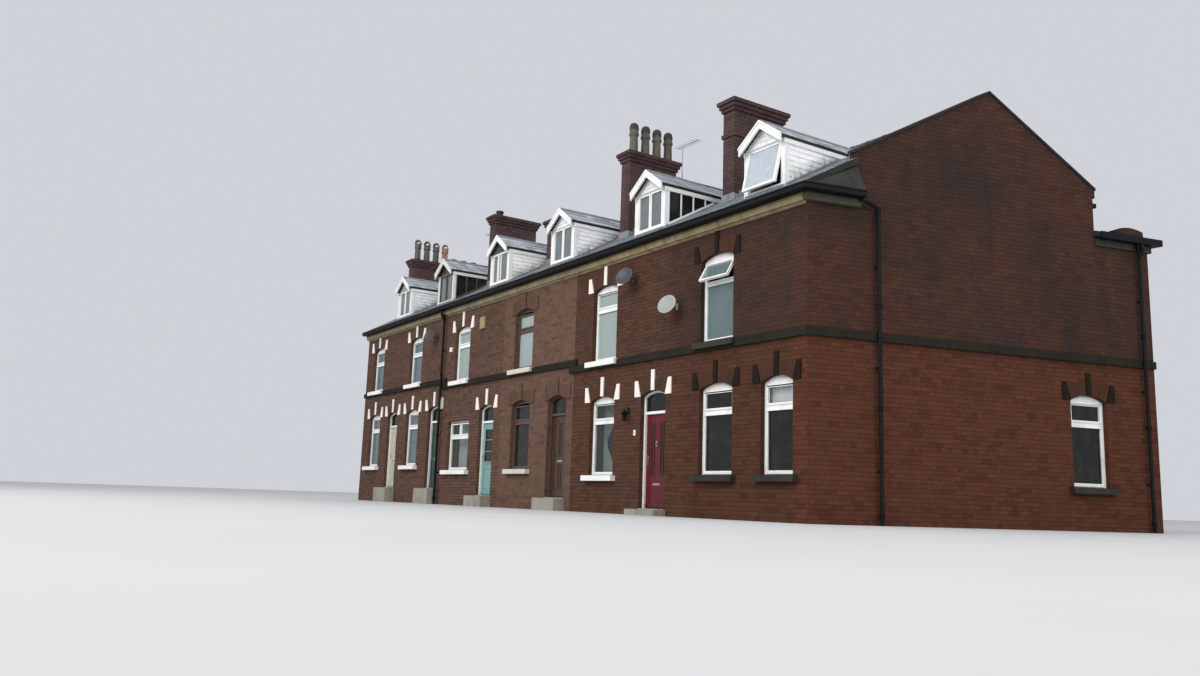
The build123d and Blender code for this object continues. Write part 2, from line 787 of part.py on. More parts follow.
def dormer_front():
    half = DORMER_WIDTH / 2
    points = [(-half, ROOF_AT_FRONT), (half, ROOF_AT_FRONT), (half, dormer_roof_under(half)), (0, dormer_roof_under(0)),
              (-half, dormer_roof_under(half))]
    wall = elevation(points, DORMER_FRONT, DORMER_FRONT + DORMER_WALL) & above_roof()
    return wall - casement_space(0, DORMER_FRONT - BEYOND, DORMER_FRONT + DORMER_WALL + BEYOND)


def casement_top():
    return dormer_roof_under(DORMER_WIDTH / 2) - DORMER_HEAD


def casement_space(inset, y0, y1):
    """The dormer window's place between two depths, drawn in by an inset all round."""
    half = DORMER_WIDTH / 2 - DORMER_POST - inset
    return box(-half, half, y0, y1, DORMER_BASE + DORMER_APRON + inset, casement_top() - inset)


def dormer_cheek(side):
    half = DORMER_WIDTH / 2
    top = dormer_roof_under(half)
    start = DORMER_FRONT + DORMER_WALL
    x0, x1 = sorted((side * half, side * (half - DORMER_WALL)))
    return box(x0, x1, start, dormer_end(top), ROOF_AT_FRONT, top) & above_roof()


def dormer_roof():
    half = DORMER_WIDTH / 2 + DORMER_OVERHANG
    thick = DORMER_ROOF_THICKNESS
    eaves, ridge = DORMER_EAVES_TOP, DORMER_RIDGE_TOP
    points = [(-half, eaves - thick), (0, ridge - thick), (half, eaves - thick), (half, eaves), (0, ridge), (-half, eaves)]
    return elevation(points, DORMER_FRONT - DORMER_NOSE, dormer_end(ridge) + WALL) & above_roof()


def dormer_bargeboard():
    half = DORMER_WIDTH / 2 + DORMER_OVERHANG
    deep = BARGE_DEPTH
    eaves, ridge = DORMER_EAVES_TOP, DORMER_RIDGE_TOP
    points = [(-half, eaves - deep), (0, ridge - deep), (half, eaves - deep), (half, eaves), (0, ridge), (-half, eaves)]
    front = DORMER_FRONT - DORMER_NOSE
    return elevation(points, front - BARGE_THICKNESS, front)


CASEMENT_FRONT = DORMER_FRONT + (DORMER_WALL - CASEMENT_DEPTH) / 2


def mullion(y0, y1):
    """The upright between two casements."""
    return box(-CASEMENT_BAR / 2, CASEMENT_BAR / 2, y0, y1, DORMER_BASE + DORMER_APRON, casement_top())


def swung(house, shape):
    """A dormer window's piece, tilted out from its top edge where the window stands open."""
    if not OPEN_CASEMENTS[house]:
        return shape
    edge = Pos(0, CASEMENT_FRONT, casement_top())
    return edge * Rot(-OPEN_ANGLE, 0, 0) * edge.inverse() * shape


def dormer_window(house):
    y0, y1 = CASEMENT_FRONT, CASEMENT_FRONT + CASEMENT_DEPTH
    ring = casement_space(0, y0, y1) - casement_space(CASEMENT_BAR, y0 - BEYOND, y1 + BEYOND)
    if CASEMENT_COUNTS[house] > 1:
        ring = ring + mullion(y0, y1)
    return swung(house, ring)


def dormer_pane(house):
    middle = DORMER_FRONT + DORMER_WALL / 2
    y0, y1 = middle - GLASS / 2, middle + GLASS / 2
    pane = casement_space(CASEMENT_BAR, y0, y1)
    if CASEMENT_COUNTS[house] > 1:
        pane = pane - mullion(y0 - BEYOND, y1 + BEYOND)
    return swung(house, pane)


def each_dormer(*shapes):
    return [Pos(dormer_x(house), 0, 0) * shape for house in HOUSES for shape in shapes]


def dormer_windows():
    return [Pos(dormer_x(house), 0, 0) * dormer_window(house) for house in HOUSES]


def dormer_panes():
    return [Pos(dormer_x(house), 0, 0) * dormer_pane(house) for house in HOUSES]


# Bands and gutters that follow the front and turn the corner

def corner_band(inner, outer, side_end, z0, z1):
    points = [(LEFT_END, -outer), meet(outer, -outer), on_side(outer, side_end), on_side(inner, side_end),
              meet(inner, -inner), (LEFT_END, -inner)]
    return plan(points, z0, z1)


def wing_band(inner, outer, z0, z1):
    """A band round the corner wing, along the side and the back."""
    start = DEPTH / math.cos(SKEW)
    left = -CORNER_WING_EDGE
    points = [on_side(inner, start), on_side(outer, start), meet(outer, WING_BACK + outer), (left, WING_BACK + outer),
              (left, WING_BACK + inner), meet(inner, WING_BACK + inner)]
    return plan(points, z0, z1)


def cornice():
    top = CORNICE_LOW + CORNICE_HEIGHT
    return [corner_band(0, CORNICE_PROJECTION, EAVES_RETURN, CORNICE_LOW, top),
            wing_band(0, CORNICE_PROJECTION / 2, WING_BAND_LOW, WING_BAND_LOW + CORNICE_HEIGHT)]


def front_gutter():
    low, shell = GUTTER_LOW, GUTTER_SHELL
    trough = corner_band(0, GUTTER_PROJECTION, EAVES_RETURN, low, low + shell)
    trough = trough + corner_band(GUTTER_PROJECTION - shell, GUTTER_PROJECTION, EAVES_RETURN, low, low + GUTTER_HEIGHT)
    return trough + corner_band(0, shell, EAVES_RETURN, low, low + GUTTER_BACK)


def box_gutter(length, width, height):
    """A trough along X with its back at y 0 and its bottom at z 0, reaching out to negative y."""
    shell = GUTTER_SHELL
    block = box(0, length, -width, 0, 0, height)
    return block - box(-BEYOND, length + BEYOND, shell - width, -shell, shell, height + BEYOND)


def rear_gutters():
    """The trough under the main rear eaves and those beside the wings."""
    shell = GUTTER_SHELL
    eaves = roof_top(DEPTH + EAVES_OVERHANG) - ROOF_THICKNESS - REAR_GUTTER_HEIGHT
    right = meet(0, DEPTH)[0]
    main = Pos(right, DEPTH, eaves) * Rot(0, 0, 180) * box_gutter(right - LEFT_END, REAR_GUTTER_WIDTH, REAR_GUTTER_HEIGHT)
    gutters = [main]
    low = WING_EAVES - VERGE_OVERHANG * WING_SLOPE - REAR_GUTTER_HEIGHT
    for wing in wings():
        run = box_gutter(WING_LENGTH, REAR_GUTTER_WIDTH, REAR_GUTTER_HEIGHT)
        gutters.append(Pos(wing["right"], DEPTH, low) * Rot(0, 0, 90) * run)
        if wing["ridge"] > wing["left"]:
            gutters.append(Pos(wing["left"], WING_BACK, low) * Rot(0, 0, -90) * run)
    out = CORNICE_PROJECTION / 2
    wide = out + REAR_GUTTER_WIDTH
    base = WING_BAND_LOW + CORNICE_HEIGHT
    corner = wing_band(0, wide, base, base + shell) + wing_band(wide - shell, wide, base, base + WING_GUTTER_HEIGHT)
    gutters.append(corner)
    return gutters


def string_course():
    """The stone band between the storeys, stepping up with each pair of houses."""
    top = STRING_LOW + STRING_HEIGHT
    out = STRING_PROJECTION
    bounds = [LINES[0], LINES[2], LINES[4], LEFT_END]
    first = [(bounds[1], -out), meet(out, -out), on_side(out, SIDE_BACK), on_side(0, SIDE_BACK), (0, 0), (bounds[1], 0)]
    course = plan(first, STRING_LOW, top)
    for pair in (1, 2):
        up = lift(2 * pair)
        course = course + box(bounds[pair + 1], bounds[pair], -out, 0, STRING_LOW + up, top + up)
        x = bounds[pair]
        course = course + box(x - STRING_HEIGHT, x + STRING_HEIGHT, -out, 0, STRING_LOW + up - LEVEL_STEP, top + up)
    for opening in front_windows():
        course = course - sill_space(opening)
    return course


# Sills, windows and doors

def sill_space(opening):
    half = opening["width"] / 2 + SILL_EAR
    return opening["place"] * box(-half, half, -SILL_PROJECTION, 0, opening["bottom"] - SILL_HEIGHT, opening["bottom"])


def sills(openings):
    return [sill_space(opening) for opening in openings]


def head_stones(opening):
    """The two side stones that stand at an opening's springing level and the key stone over its crown, all
    of them stopping under the cornice."""
    half, spring = opening["width"] / 2, opening["spring"]
    top, foot, high = HEAD_STONE_TOP, HEAD_STONE_FOOT, spring + HEAD_STONE_HEIGHT
    shapes = []
    for side in (-1, 1):
        outer = side * (half + foot)
        points = [(outer, spring), (side * half, spring), (outer - side * top, high), (outer, high)]
        shapes.append(elevation(points, -HEAD_STONE_PROJECTION, 0))
    crown = spring + opening["rise"]
    key = KEY_STONE_WIDTH / 2
    shapes.append(box(-key, key, -HEAD_STONE_PROJECTION, 0, crown, crown + KEY_STONE_HEIGHT))
    behind_cornice = box(-half - foot, half + foot, -CORNICE_PROJECTION, BEYOND, CORNICE_LOW, RIDGE_TOP)
    return [opening["place"] * (shape - behind_cornice) for shape in shapes]


def all_head_stones():
    openings = [opening for opening in front_windows() if opening["rise"] > 0]
    openings = openings + [side_window()] + [door_opening(house) for house in door_houses()]
    return [stone for opening in openings for stone in head_stones(opening)]


def light_space(opening, y0, y1):
    """The glazed space inside a window's frame, between two depths."""
    width, bottom, spring, rise = (opening[key] for key in ("width", "bottom", "spring", "rise"))
    return arched(width - 2 * FRAME_WIDTH, bottom + FRAME_WIDTH, spring - FRAME_WIDTH / 2, rise / 2, y0, y1)


def window_frame(opening):
    width, bottom, spring, rise = (opening[key] for key in ("width", "bottom", "spring", "rise"))
    y0, y1 = REVEAL, REVEAL + FRAME_DEPTH
    outer = arched(width, bottom, spring, rise, y0, y1)
    inner = light_space(opening, y0 - BEYOND, y1 + BEYOND)
    z = spring - TOP_LIGHT
    reach = width / 2 - FRAME_WIDTH / 2
    bar = box(-reach, reach, y0, y1, z - TRANSOM_HEIGHT / 2, z + TRANSOM_HEIGHT / 2)
    return opening["place"] * (outer - inner + bar)


def window_pane(opening):
    width = opening["width"]
    middle = REVEAL + FRAME_DEPTH / 2
    y0, y1 = middle - GLASS / 2, middle + GLASS / 2
    z = opening["spring"] - TOP_LIGHT
    half = TRANSOM_HEIGHT / 2
    bar = box(-width, width, y0 - BEYOND, y1 + BEYOND, z - half, z + half)
    return opening["place"] * (light_space(opening, y0, y1) - bar)


def leaf_bottom(house):
    return FLOOR_TOP + lift(house) + THRESHOLD_GAP


def leaf_top(house):
    return leaf_bottom(house) + LEAF_HEIGHT


def leaf_half():
    return DOOR_WIDTH / 2 - DOOR_FRAME_WIDTH - LEAF_GAP


def hinge_halves(house, side):
    """Half of each butt hinge: side 1 on the frame, or side -1 on the leaf, standing on the frame's half."""
    face = REVEAL + DOOR_FRAME_DEPTH
    x = leaf_half()
    halves = []
    for height in HINGE_HEIGHTS:
        low = leaf_bottom(house) + height + (HINGE_KNUCKLE + HINGE_GAP if side < 0 else 0)
        barrel = Pos(x, face + HINGE_STANDOFF, low + HINGE_KNUCKLE / 2) * Cylinder(HINGE_RADIUS, HINGE_KNUCKLE)
        x0, x1 = sorted((x, x + side * (LEAF_GAP + HINGE_PLATE_WIDTH)))
        plate = box(x0, x1, face, face + HINGE_PLATE, low, low + HINGE_KNUCKLE)
        halves.append(front_at(door_x(house)) * (barrel + plate))
    return halves


def doorway_space(bottom, spring, y0, y1):
    """The clear space inside a door frame, from a height up to its arched head."""
    clear = DOOR_WIDTH - 2 * DOOR_FRAME_WIDTH
    return arched(clear, bottom, spring - DOOR_FRAME_WIDTH / 2, ARCH_RISE - DOOR_FRAME_WIDTH / 2, y0, y1)


def door_frame(house):
    """Jambs, arched head and the transom over the leaf, standing on the step."""
    y0, y1 = REVEAL, REVEAL + DOOR_FRAME_DEPTH
    bottom = FLOOR_TOP + lift(house)
    spring = GROUND_SPRING + lift(house)
    outer = arched(DOOR_WIDTH, bottom, spring, ARCH_RISE, y0, y1)
    inner = doorway_space(bottom - BEYOND, spring, y0 - BEYOND, y1 + BEYOND)
    z = leaf_top(house) + LEAF_GAP
    reach = DOOR_WIDTH / 2 - DOOR_FRAME_WIDTH / 2
    bar = box(-reach, reach, y0, y1, z, z + DOOR_TRANSOM)
    frame = front_at(door_x(house)) * (outer - inner + bar)
    for half in hinge_halves(house, 1):
        frame = frame + half
    return frame


def fanlight(house):
    middle = REVEAL + DOOR_FRAME_DEPTH / 2
    bottom = leaf_top(house) + LEAF_GAP + DOOR_TRANSOM
    spring = GROUND_SPRING + lift(house)
    return front_at(door_x(house)) * doorway_space(bottom, spring, middle - GLASS / 2, middle + GLASS / 2)


def front_door(house):
    y1 = REVEAL + DOOR_FRAME_DEPTH
    half = leaf_half()
    leaf = front_at(door_x(house)) * box(-half, half, y1 - LEAF_THICKNESS, y1, leaf_bottom(house), leaf_top(house))
    for hinge in hinge_halves(house, -1):
        leaf = leaf + hinge
    return leaf


def door_step(house):
    """The stone step, running through the wall as the doorway's threshold."""
    top = FLOOR_TOP + lift(house)
    half = DOOR_WIDTH / 2
    inside = box(-half, half, 0, WALL, 0, top)
    outside = box(-half - STEP_SIDE, half + STEP_SIDE, -STEP_DEPTH, 0, 0, top - STEP_BELOW_FLOOR)
    return front_at(door_x(house)) * (inside + outside)


def back_door(opening, house):
    """A plain boarded back door, fixed shut in its frame."""
    y0, y1 = REVEAL, REVEAL + DOOR_FRAME_DEPTH
    head = opening["spring"]
    return opening["place"] * box(-DOOR_WIDTH / 2, DOOR_WIDTH / 2, y0, y1, FLOOR_TOP + lift(house), head)


def back_houses():
    return [room[2] for room in wing_rooms()] + [0]


def back_doors():
    doors = wing_openings()[0]
    return [back_door(opening, house) for opening, house in zip(doors, back_houses())]


def back_steps():
    """The thresholds of the back doors."""
    doors = wing_openings()[0]
    return [opening["place"] * box(-DOOR_WIDTH / 2, DOOR_WIDTH / 2, 0, WALL, 0, FLOOR_TOP + lift(house))
            for opening, house in zip(doors, back_houses())]


# Pipes, dishes and aerial

def downpipe(place, high):
    """A round pipe held off the wall by straps, clear of the string course."""
    y = -STRING_PROJECTION - PIPE_GAP - PIPE_RADIUS
    pipe = Pos(0, y, high / 2) * Cylinder(PIPE_RADIUS, high)
    for number in range(int(high / PIPE_STRAP_SPACING)):
        z = (number + 0.5) * PIPE_STRAP_SPACING
        pipe = pipe + box(-PIPE_RADIUS / 2, PIPE_RADIUS / 2, y, 0, z, z + PIPE_RADIUS)
    return place * pipe


def downpipes():
    wing_top = WING_BAND_LOW + CORNICE_HEIGHT
    return [downpipe(side_at(SIDE_PIPE_PLACE), CORNICE_LOW), downpipe(side_at(SIDE_BACK - WING_PIPE_FROM_BACK), wing_top),
            downpipe(front_at(LINES[4] - FRONT_PIPE_OFFSET), CORNICE_LOW)]


def dish(x, z):
    """A shallow bowl on an arm from a plate on the wall."""
    r, bulge = DISH_RADIUS, DISH_BULGE
    bend = (r * r + bulge * bulge) / (2 * bulge)
    shell = Pos(0, 0, bend) * (Sphere(bend) - Sphere(bend - DISH_THICKNESS))
    bowl = Rot(0, 0, DISH_TURN) * Rot(90 - DISH_TILT, 0, 0) * (shell & Cylinder(r, 2 * bulge))
    wall_face = DISH_ARM - DISH_THICKNESS
    arm = Pos(0, DISH_ARM / 2 - DISH_THICKNESS, 0) * Rot(90, 0, 0) * Cylinder(ARM_RADIUS, DISH_ARM)
    wide, high = DISH_PLATE_WIDTH / 2, DISH_PLATE_HEIGHT / 2
    plate = box(-wide, wide, wall_face - ARM_RADIUS, wall_face, -high, high)
    return Pos(x, -wall_face, z) * (bowl + arm + plate)


def satellite_dishes():
    places = zip(DISH_LINE_NUMBERS, DISH_OFFSETS, DISHES_BELOW_CORNICE)
    return [dish(LINES[line] - offset, CORNICE_LOW - drop) for line, offset, drop in places]


def aerial(line, rise, standoff):
    """A mast held off the back of a stack by two brackets, with a boom and cross rods at its top."""
    back = STACK_BACK
    y = back + standoff
    top = STACK_TOPS[line - 1] + rise
    brackets = [cap_bottom(line) - AERIAL_BRACKET_DROP - number * AERIAL_BRACKET_SPACING for number in range(2)]
    low = brackets[-1] - AERIAL_ROD
    mast = Pos(0, y, (low + top) / 2) * Cylinder(AERIAL_MAST_RADIUS, top - low)
    for z in brackets:
        mast = mast + box(-AERIAL_ROD, AERIAL_ROD, back, y, z, z + 2 * AERIAL_ROD)
    boom_height = top - 2 * AERIAL_ROD
    boom = Rot(0, 90, 0) * Cylinder(AERIAL_ROD, AERIAL_BOOM)
    mast = mast + Pos(AERIAL_BOOM / 4, y, boom_height) * boom
    pitch = AERIAL_BOOM / AERIAL_ROD_COUNT
    for number in range(AERIAL_ROD_COUNT):
        x = AERIAL_BOOM / 4 + (number - (AERIAL_ROD_COUNT - 1) / 2) * pitch
        rod = Rot(90, 0, 0) * Cylinder(AERIAL_ROD / 2, AERIAL_ROD_LENGTH)
        mast = mast + Pos(x, y, boom_height) * rod
    return Pos(stack_x(line), 0, 0) * mast


def aerials():
    return [aerial(*each) for each in zip(AERIAL_LINE_NUMBERS, AERIALS_ABOVE_STACK, AERIAL_STANDOFFS)]


def build():
    windows = front_windows() + [side_window()]
    back_windows = rear_windows() + wing_openings()[1]
    nodes = {
        "front_wall_ground": front_wall_ground(),
        "front_wall_upper_right": front_wall_upper(0),
        "front_wall_upper_middle": front_wall_upper(1),
        "front_wall_upper_left": front_wall_upper(2),
        "side_wall": side_wall(),
        "left_end_wall": left_end_wall(),
        "party_walls": party_walls(),
        "rear_walls": rear_walls(),
        "rear_wall_attic": rear_wall_attic(),
        "wing_side_walls": wing_side_walls(),
        "wing_rear_walls": wing_rear_walls(),
        "wing_roofs": wing_roofs(),
        "side_stack": side_stack(),
        "ground_floors": ground_floors(),
        "first_floors": first_floors(),
        "attic_floors": attic_floors(),
        "wing_floors": wing_floors(),
        "front_roof_right": front_roof(0),
        "front_roof_middle": front_roof(1),
        "front_roof_left": front_roof(2),
        "gable_coping": gable_coping(),
        "rear_roof": rear_roof(),
        "ridge_tiles": ridge_tiles(),
        "chimney_stacks": chimney_stacks(),
        "chimney_pots": chimney_pots(),
        "dormer_fronts": each_dormer(dormer_front()),
        "dormer_cheeks": each_dormer(dormer_cheek(1), dormer_cheek(-1)),
        "dormer_roofs": each_dormer(dormer_roof()),
        "dormer_bargeboards": each_dormer(dormer_bargeboard()),
        "dormer_windows": dormer_windows(),
        "dormer_glass": dormer_panes(),
        "cornice": cornice(),
        "front_gutter": front_gutter(),
        "rear_gutters": rear_gutters(),
        "string_course": string_course(),
        "window_sills": sills(windows + back_windows),
        "head_stones": all_head_stones(),
        "window_frames": [window_frame(opening) for opening in windows + back_windows],
        "window_glass": [window_pane(opening) for opening in windows + back_windows],
        "door_frames": [door_frame(house) for house in door_houses()],
        "fanlights": [fanlight(house) for house in door_houses()],
        "door_steps": [door_step(house) for house in door_houses()] + back_steps(),
        "back_doors": back_doors(),
        "downpipes": downpipes(),
        "satellite_dishes": satellite_dishes(),
        "aerials": aerials(),
    }
    for house in door_houses():
        nodes[f"front_door_{house + 1}"] = front_door(house)
    return nodes


def as_one(shape):
    """One compound of all the solids of a node."""
    shapes = shape if isinstance(shape, list) else [shape]
    solids = [solid for item in shapes for solid in item.solids()]
    return Compound(children=solids) if len(solids) > 1 else solids[0]


os.makedirs("parts", exist_ok=True)
parts = {name: as_one(shape) for name, shape in build().items()}
low = [min(getattr(part.bounding_box().min, axis) for part in parts.values()) for axis in "XYZ"]
high = [max(getattr(part.bounding_box().max, axis) for part in parts.values()) for axis in "XYZ"]
origin = Pos(-(low[0] + high[0]) / 2, -(low[1] + high[1]) / 2, -low[2])
print("origin shift", origin.position)
for house in door_houses():
    hinge = origin * Pos(door_x(house) + leaf_half(), REVEAL + DOOR_FRAME_DEPTH + HINGE_STANDOFF, leaf_bottom(house))
    print("hinge of door", house + 1, hinge.position)
for name, part in parts.items():
    export_step(origin * part, f"parts/{name}.step")
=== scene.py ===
"""Looks for a row of six brick terraced houses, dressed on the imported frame. Metres throughout."""
import math
import random
from collections import namedtuple

import bmesh
import bpy
from mathutils import Matrix, Vector


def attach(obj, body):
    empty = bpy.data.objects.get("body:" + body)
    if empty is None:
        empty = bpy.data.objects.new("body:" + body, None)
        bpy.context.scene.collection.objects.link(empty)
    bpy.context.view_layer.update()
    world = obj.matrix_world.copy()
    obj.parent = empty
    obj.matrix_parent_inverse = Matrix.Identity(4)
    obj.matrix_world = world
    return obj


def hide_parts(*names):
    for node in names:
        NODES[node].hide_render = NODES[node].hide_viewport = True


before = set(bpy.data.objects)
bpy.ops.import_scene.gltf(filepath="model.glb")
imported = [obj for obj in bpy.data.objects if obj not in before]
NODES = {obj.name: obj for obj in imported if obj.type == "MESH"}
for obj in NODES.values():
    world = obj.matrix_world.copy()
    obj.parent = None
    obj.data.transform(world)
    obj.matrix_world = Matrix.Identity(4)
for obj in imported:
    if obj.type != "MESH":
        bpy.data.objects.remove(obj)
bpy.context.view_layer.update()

RANDOM = random.Random(7)
STILL = Matrix.Identity(4)

# The row's own corner, at the foot of the street front, in the frame
CORNER = Vector((9.67213, -3.75685, 0))
ROW = Matrix.Translation(CORNER)

# Sizes repeated from the solids, in the row's own directions: x along the front, y back from it
FRONTAGES = (3.6, 3.9, 3.6, 3.6, 3.25, 3.25)
LINES = [-sum(FRONTAGES[:count]) for count in range(len(FRONTAGES) + 1)]
PARTY_HALF = 0.115
LEFT_END = LINES[-1] - PARTY_HALF
LIFTS = (0, 0, 0.164, 0.164, 0.328, 0.328)
WINDOWS_IN = (2.39, 2.665, 2.51, 2.53, 2.31, 2.26)
DOORS_IN = (None, 0.775, 0.72, 0.81, 0.66, 0.69)
DORMERS_IN = (1.295, 1.32, 1.09, 0.84, 0.79, 0.79)
REAR_IN = 0.65
SKEW = math.radians(13.5)
DEPTH, WING_BACK, WING_WIDTH = 6.38, 7.72, 1.77
WING_WALL, CORNER_WING = 0.23, 0.9
FRONT_PITCH, REAR_PITCH, WING_PITCH = math.radians(29.2), math.radians(32.7), math.radians(10)
ROOF_AT_FRONT = 5.965
RIDGE_DEPTH = 3.95
RIDGE_TOP = ROOF_AT_FRONT + RIDGE_DEPTH * math.tan(FRONT_PITCH)
EAVES_OVERHANG, VERGE_OVERHANG = 0.06, 0.04
EAVES_RETURN, PARAPET = 1.05, 0.23
WALL, REVEAL = 0.33, 0.1
FRAME_DEPTH, FRAME_WIDTH = 0.07, 0.06
ARCH_RISE, HEAD_STONE = 0.11, 0.34
GROUND_SILL, GROUND_SPRING = 0.81, 2.45
UPPER_SILL = 3.355
UPPER_SPRINGS = (4.99, 4.99, 4.99, 4.99, 5.072, 5.072)
WINDOW_WIDTH, REAR_WIDTH, DOOR_WIDTH, TOP_LIGHT = 0.96, 0.9, 0.85, 0.43
WIDE_WIDTH, FLAT_SPRING = 1.37, 2.2
LIGHT_OPEN = math.radians(-30)
FLOOR_TOP = 0.14
LEAF_BOTTOM, LEAF_FRONT, LEAF_THICK = 0.15, 0.146, 0.044
STRING_LOW = 3.19
CORNICE_LOW, CORNICE_TOP, CORNICE_OUT = 5.575, 5.71, 0.115
GUTTER_OUT = 0.28
DORMER_FRONT, DORMER_HALF = 0.2, 0.525
DORMER_EAVES, DORMER_RIDGE = 7.0618, 7.4718
DORMER_EDGE, DORMER_NOSE = 0.57, 0.05
CASEMENT_LOW, CASEMENT_TOP, CASEMENT_HALF = 6.1468, 6.9942, 0.445
STACK_FRONT, STACK_BACK, STACK_HALF = 1.3, 2.75, 0.18
STACKS_ABOVE_ROOF = (1.465, 1.395, 0.445, 1.39, 0.445, 1.195)
POT_COUNTS = (0, 4, 1, 1, 3, 4)
POT_START, POT_SPACING = 0.22, 0.36
HOOD_TURN = math.radians(58)
WING_EAVES = 5.7576
PIPE_OUT, SIDE_PIPE, GUTTER_JOINT = 0.103, 1.41, 1.83
CURTAIN_DEPTH, BLIND_DEPTH = 0.375, 0.21

# Masonry, slating and boarding
BRICK_LENGTH, BRICK_COURSE, JOINT = 0.235, 0.082, 0.0042
SLATE_WIDTH, SLATE_GAUGE, SLATE_LIFT = 0.25, 0.2, 0.013
BOARD_GAUGE, GABLE_GAUGE = 0.105, 0.09
RIDGE_TILE, RAISED_END = 0.45, 0.055


def moved(x, y, z=0):
    return Matrix.Translation((x, y, z))


SIDE = ROW @ Matrix.Rotation(math.radians(90) - SKEW, 4, "Z")


def front_at(x):
    """A place on the street front: x along it, y into the wall."""
    return ROW @ moved(x, 0)


def side_at(along):
    return SIDE @ moved(along, 0)


def rear_at(x, y=DEPTH):
    return ROW @ moved(x, y) @ Matrix.Rotation(math.pi, 4, "Z")


def stack_x(line):
    return LEFT_END + STACK_HALF if line == len(FRONTAGES) else LINES[line]


def roof_top(y):
    if y <= RIDGE_DEPTH:
        return ROOF_AT_FRONT + y * math.tan(FRONT_PITCH)
    return RIDGE_TOP - (y - RIDGE_DEPTH) * math.tan(REAR_PITCH)


def roof_depth(z):
    """How far back the front slope reaches a height."""
    return (z - ROOF_AT_FRONT) / math.tan(FRONT_PITCH)


def on_roof(start, end, low, high):
    """The outline of a strip along the slope, between two heights over it."""
    return [(start, roof_top(start) + low), (end, roof_top(end) + low), (end, roof_top(end) + high),
            (start, roof_top(start) + high)]


def stack_top(line):
    return roof_top(STACK_BACK) + STACKS_ABOVE_ROOF[line - 1]


def band(middle, reach):
    """The stretch on both sides of a middle."""
    return (middle - reach, middle + reach)


def past(face, side, reach):
    """The stretch outward from a face on its own side."""
    return sorted((face, face + side * reach))


def turns(angle, steps):
    """Cosines and sines at equal steps up to an angle."""
    return [(math.cos(angle * step / steps), math.sin(angle * step / steps)) for step in range(steps + 1)]


# Materials

class Shader:
    """A material's nodes, made call by call and ending in one Principled shader."""

    def __init__(self, name, roughness=0.8, **fixed):
        self.material = bpy.data.materials.new(name)
        self.material.use_nodes = True
        self.tree = self.material.node_tree
        self.surface = next(node for node in self.tree.nodes if node.type == "BSDF_PRINCIPLED")
        for key, value in {"Roughness": roughness, **fixed}.items():
            self.surface.inputs[key.replace("_", " ")].default_value = value
        self.where = self.node("TexCoord").outputs["Object"]
        self.x, self.y, self.z = self.parts(self.where)

    def node(self, kind, inputs=(), **settings):
        made = self.tree.nodes.new("ShaderNode" + kind)
        for key, value in settings.items():
            setattr(made, key, value)
        for key, value in dict(inputs).items():
            self.feed(value, made.inputs[key])
        return made

    def feed(self, value, socket):
        if isinstance(value, bpy.types.NodeSocket):
            self.tree.links.new(value, socket)
        elif socket.type == "RGBA":
            socket.default_value = (*value[:3], 1)
        else:
            socket.default_value = value

    def maths(self, operation, a, b, clamp=False):
        return self.node("Math", {0: a, 1: b}, operation=operation, use_clamp=clamp).outputs[0]

    def plus(self, a, b, clamp=False):
        return self.maths("ADD", a, b, clamp)

    def less(self, a, b, clamp=False):
        return self.maths("SUBTRACT", a, b, clamp)

    def times(self, a, b, clamp=False):
        return self.maths("MULTIPLY", a, b, clamp)

    def parts(self, vector):
        return self.node("SeparateXYZ", {0: vector}).outputs[:3]

    def noise(self, scale, detail=3.0, rough=0.55, stretch=None):
        """Noise over the part's own place, drawn out by three scales where they are given."""
        place = self.node("Mapping", {"Vector": self.where, "Scale": stretch}).outputs[0] if stretch else self.where
        inputs = {"Vector": place, "Scale": scale, "Detail": detail, "Roughness": rough}
        return self.node("TexNoise", inputs).outputs[0]

    def ramp(self, factor, *stops):
        """Colours or greys at places from 0 to 1."""
        made = self.node("ValToRGB", {0: factor})
        elements = made.color_ramp.elements
        while len(elements) < len(stops):
            elements.new(0.5)
        for element, (place, colour) in zip(elements, stops):
            element.position = place
            element.color = (*(colour if hasattr(colour, "__len__") else (colour,) * 3), 1)
        return made.outputs[0]

    def rise(self, factor, start, end, top=1.0):
        """0 up to a start, and rising from there to an end."""
        return self.ramp(factor, (start, 0.0), (end, top))

    def mix(self, factor, a, b, blend="MIX"):
        made = self.node("Mix", data_type="RGBA", blend_type=blend)
        for number, value in ((0, factor), (6, a), (7, b)):
            self.feed(value, made.inputs[number])
        return made.outputs[2]

    def shaded(self, base, pattern, *stops):
        """The base made darker and lighter by a pattern."""
        return self.mix(1.0, base, self.ramp(pattern, *stops), "MULTIPLY")

    def left_of(self, x, blend=0.001):
        """1 where the place is further along the row than x, and 0 before it."""
        return self.plus(self.maths("DIVIDE", self.less(x + CORNER.x, self.x), blend), 0.5, True)

    def by_house(self, *colours, first_blend=0.001):
        """A colour for each house, changing at the party lines. One colour alone is for all."""
        found = colours[0]
        for number, colour in enumerate(colours[1:]):
            found = self.mix(self.left_of(LINES[number + 1], 0.001 if number else first_blend), found, colour)
        return found

    def done(self, colour, height=None, distance=0.0, rough=None, strength=1.0):
        """Feeds the shader its colour, relief and roughness, and gives the material."""
        self.feed(colour, self.surface.inputs["Base Color"])
        if rough is not None:
            self.feed(rough, self.surface.inputs["Roughness"])
        if height is not None:
            bump = self.node("Bump", {"Height": height, "Distance": distance, "Strength": strength})
            self.feed(bump.outputs[0], self.surface.inputs["Normal"])
        return self.material


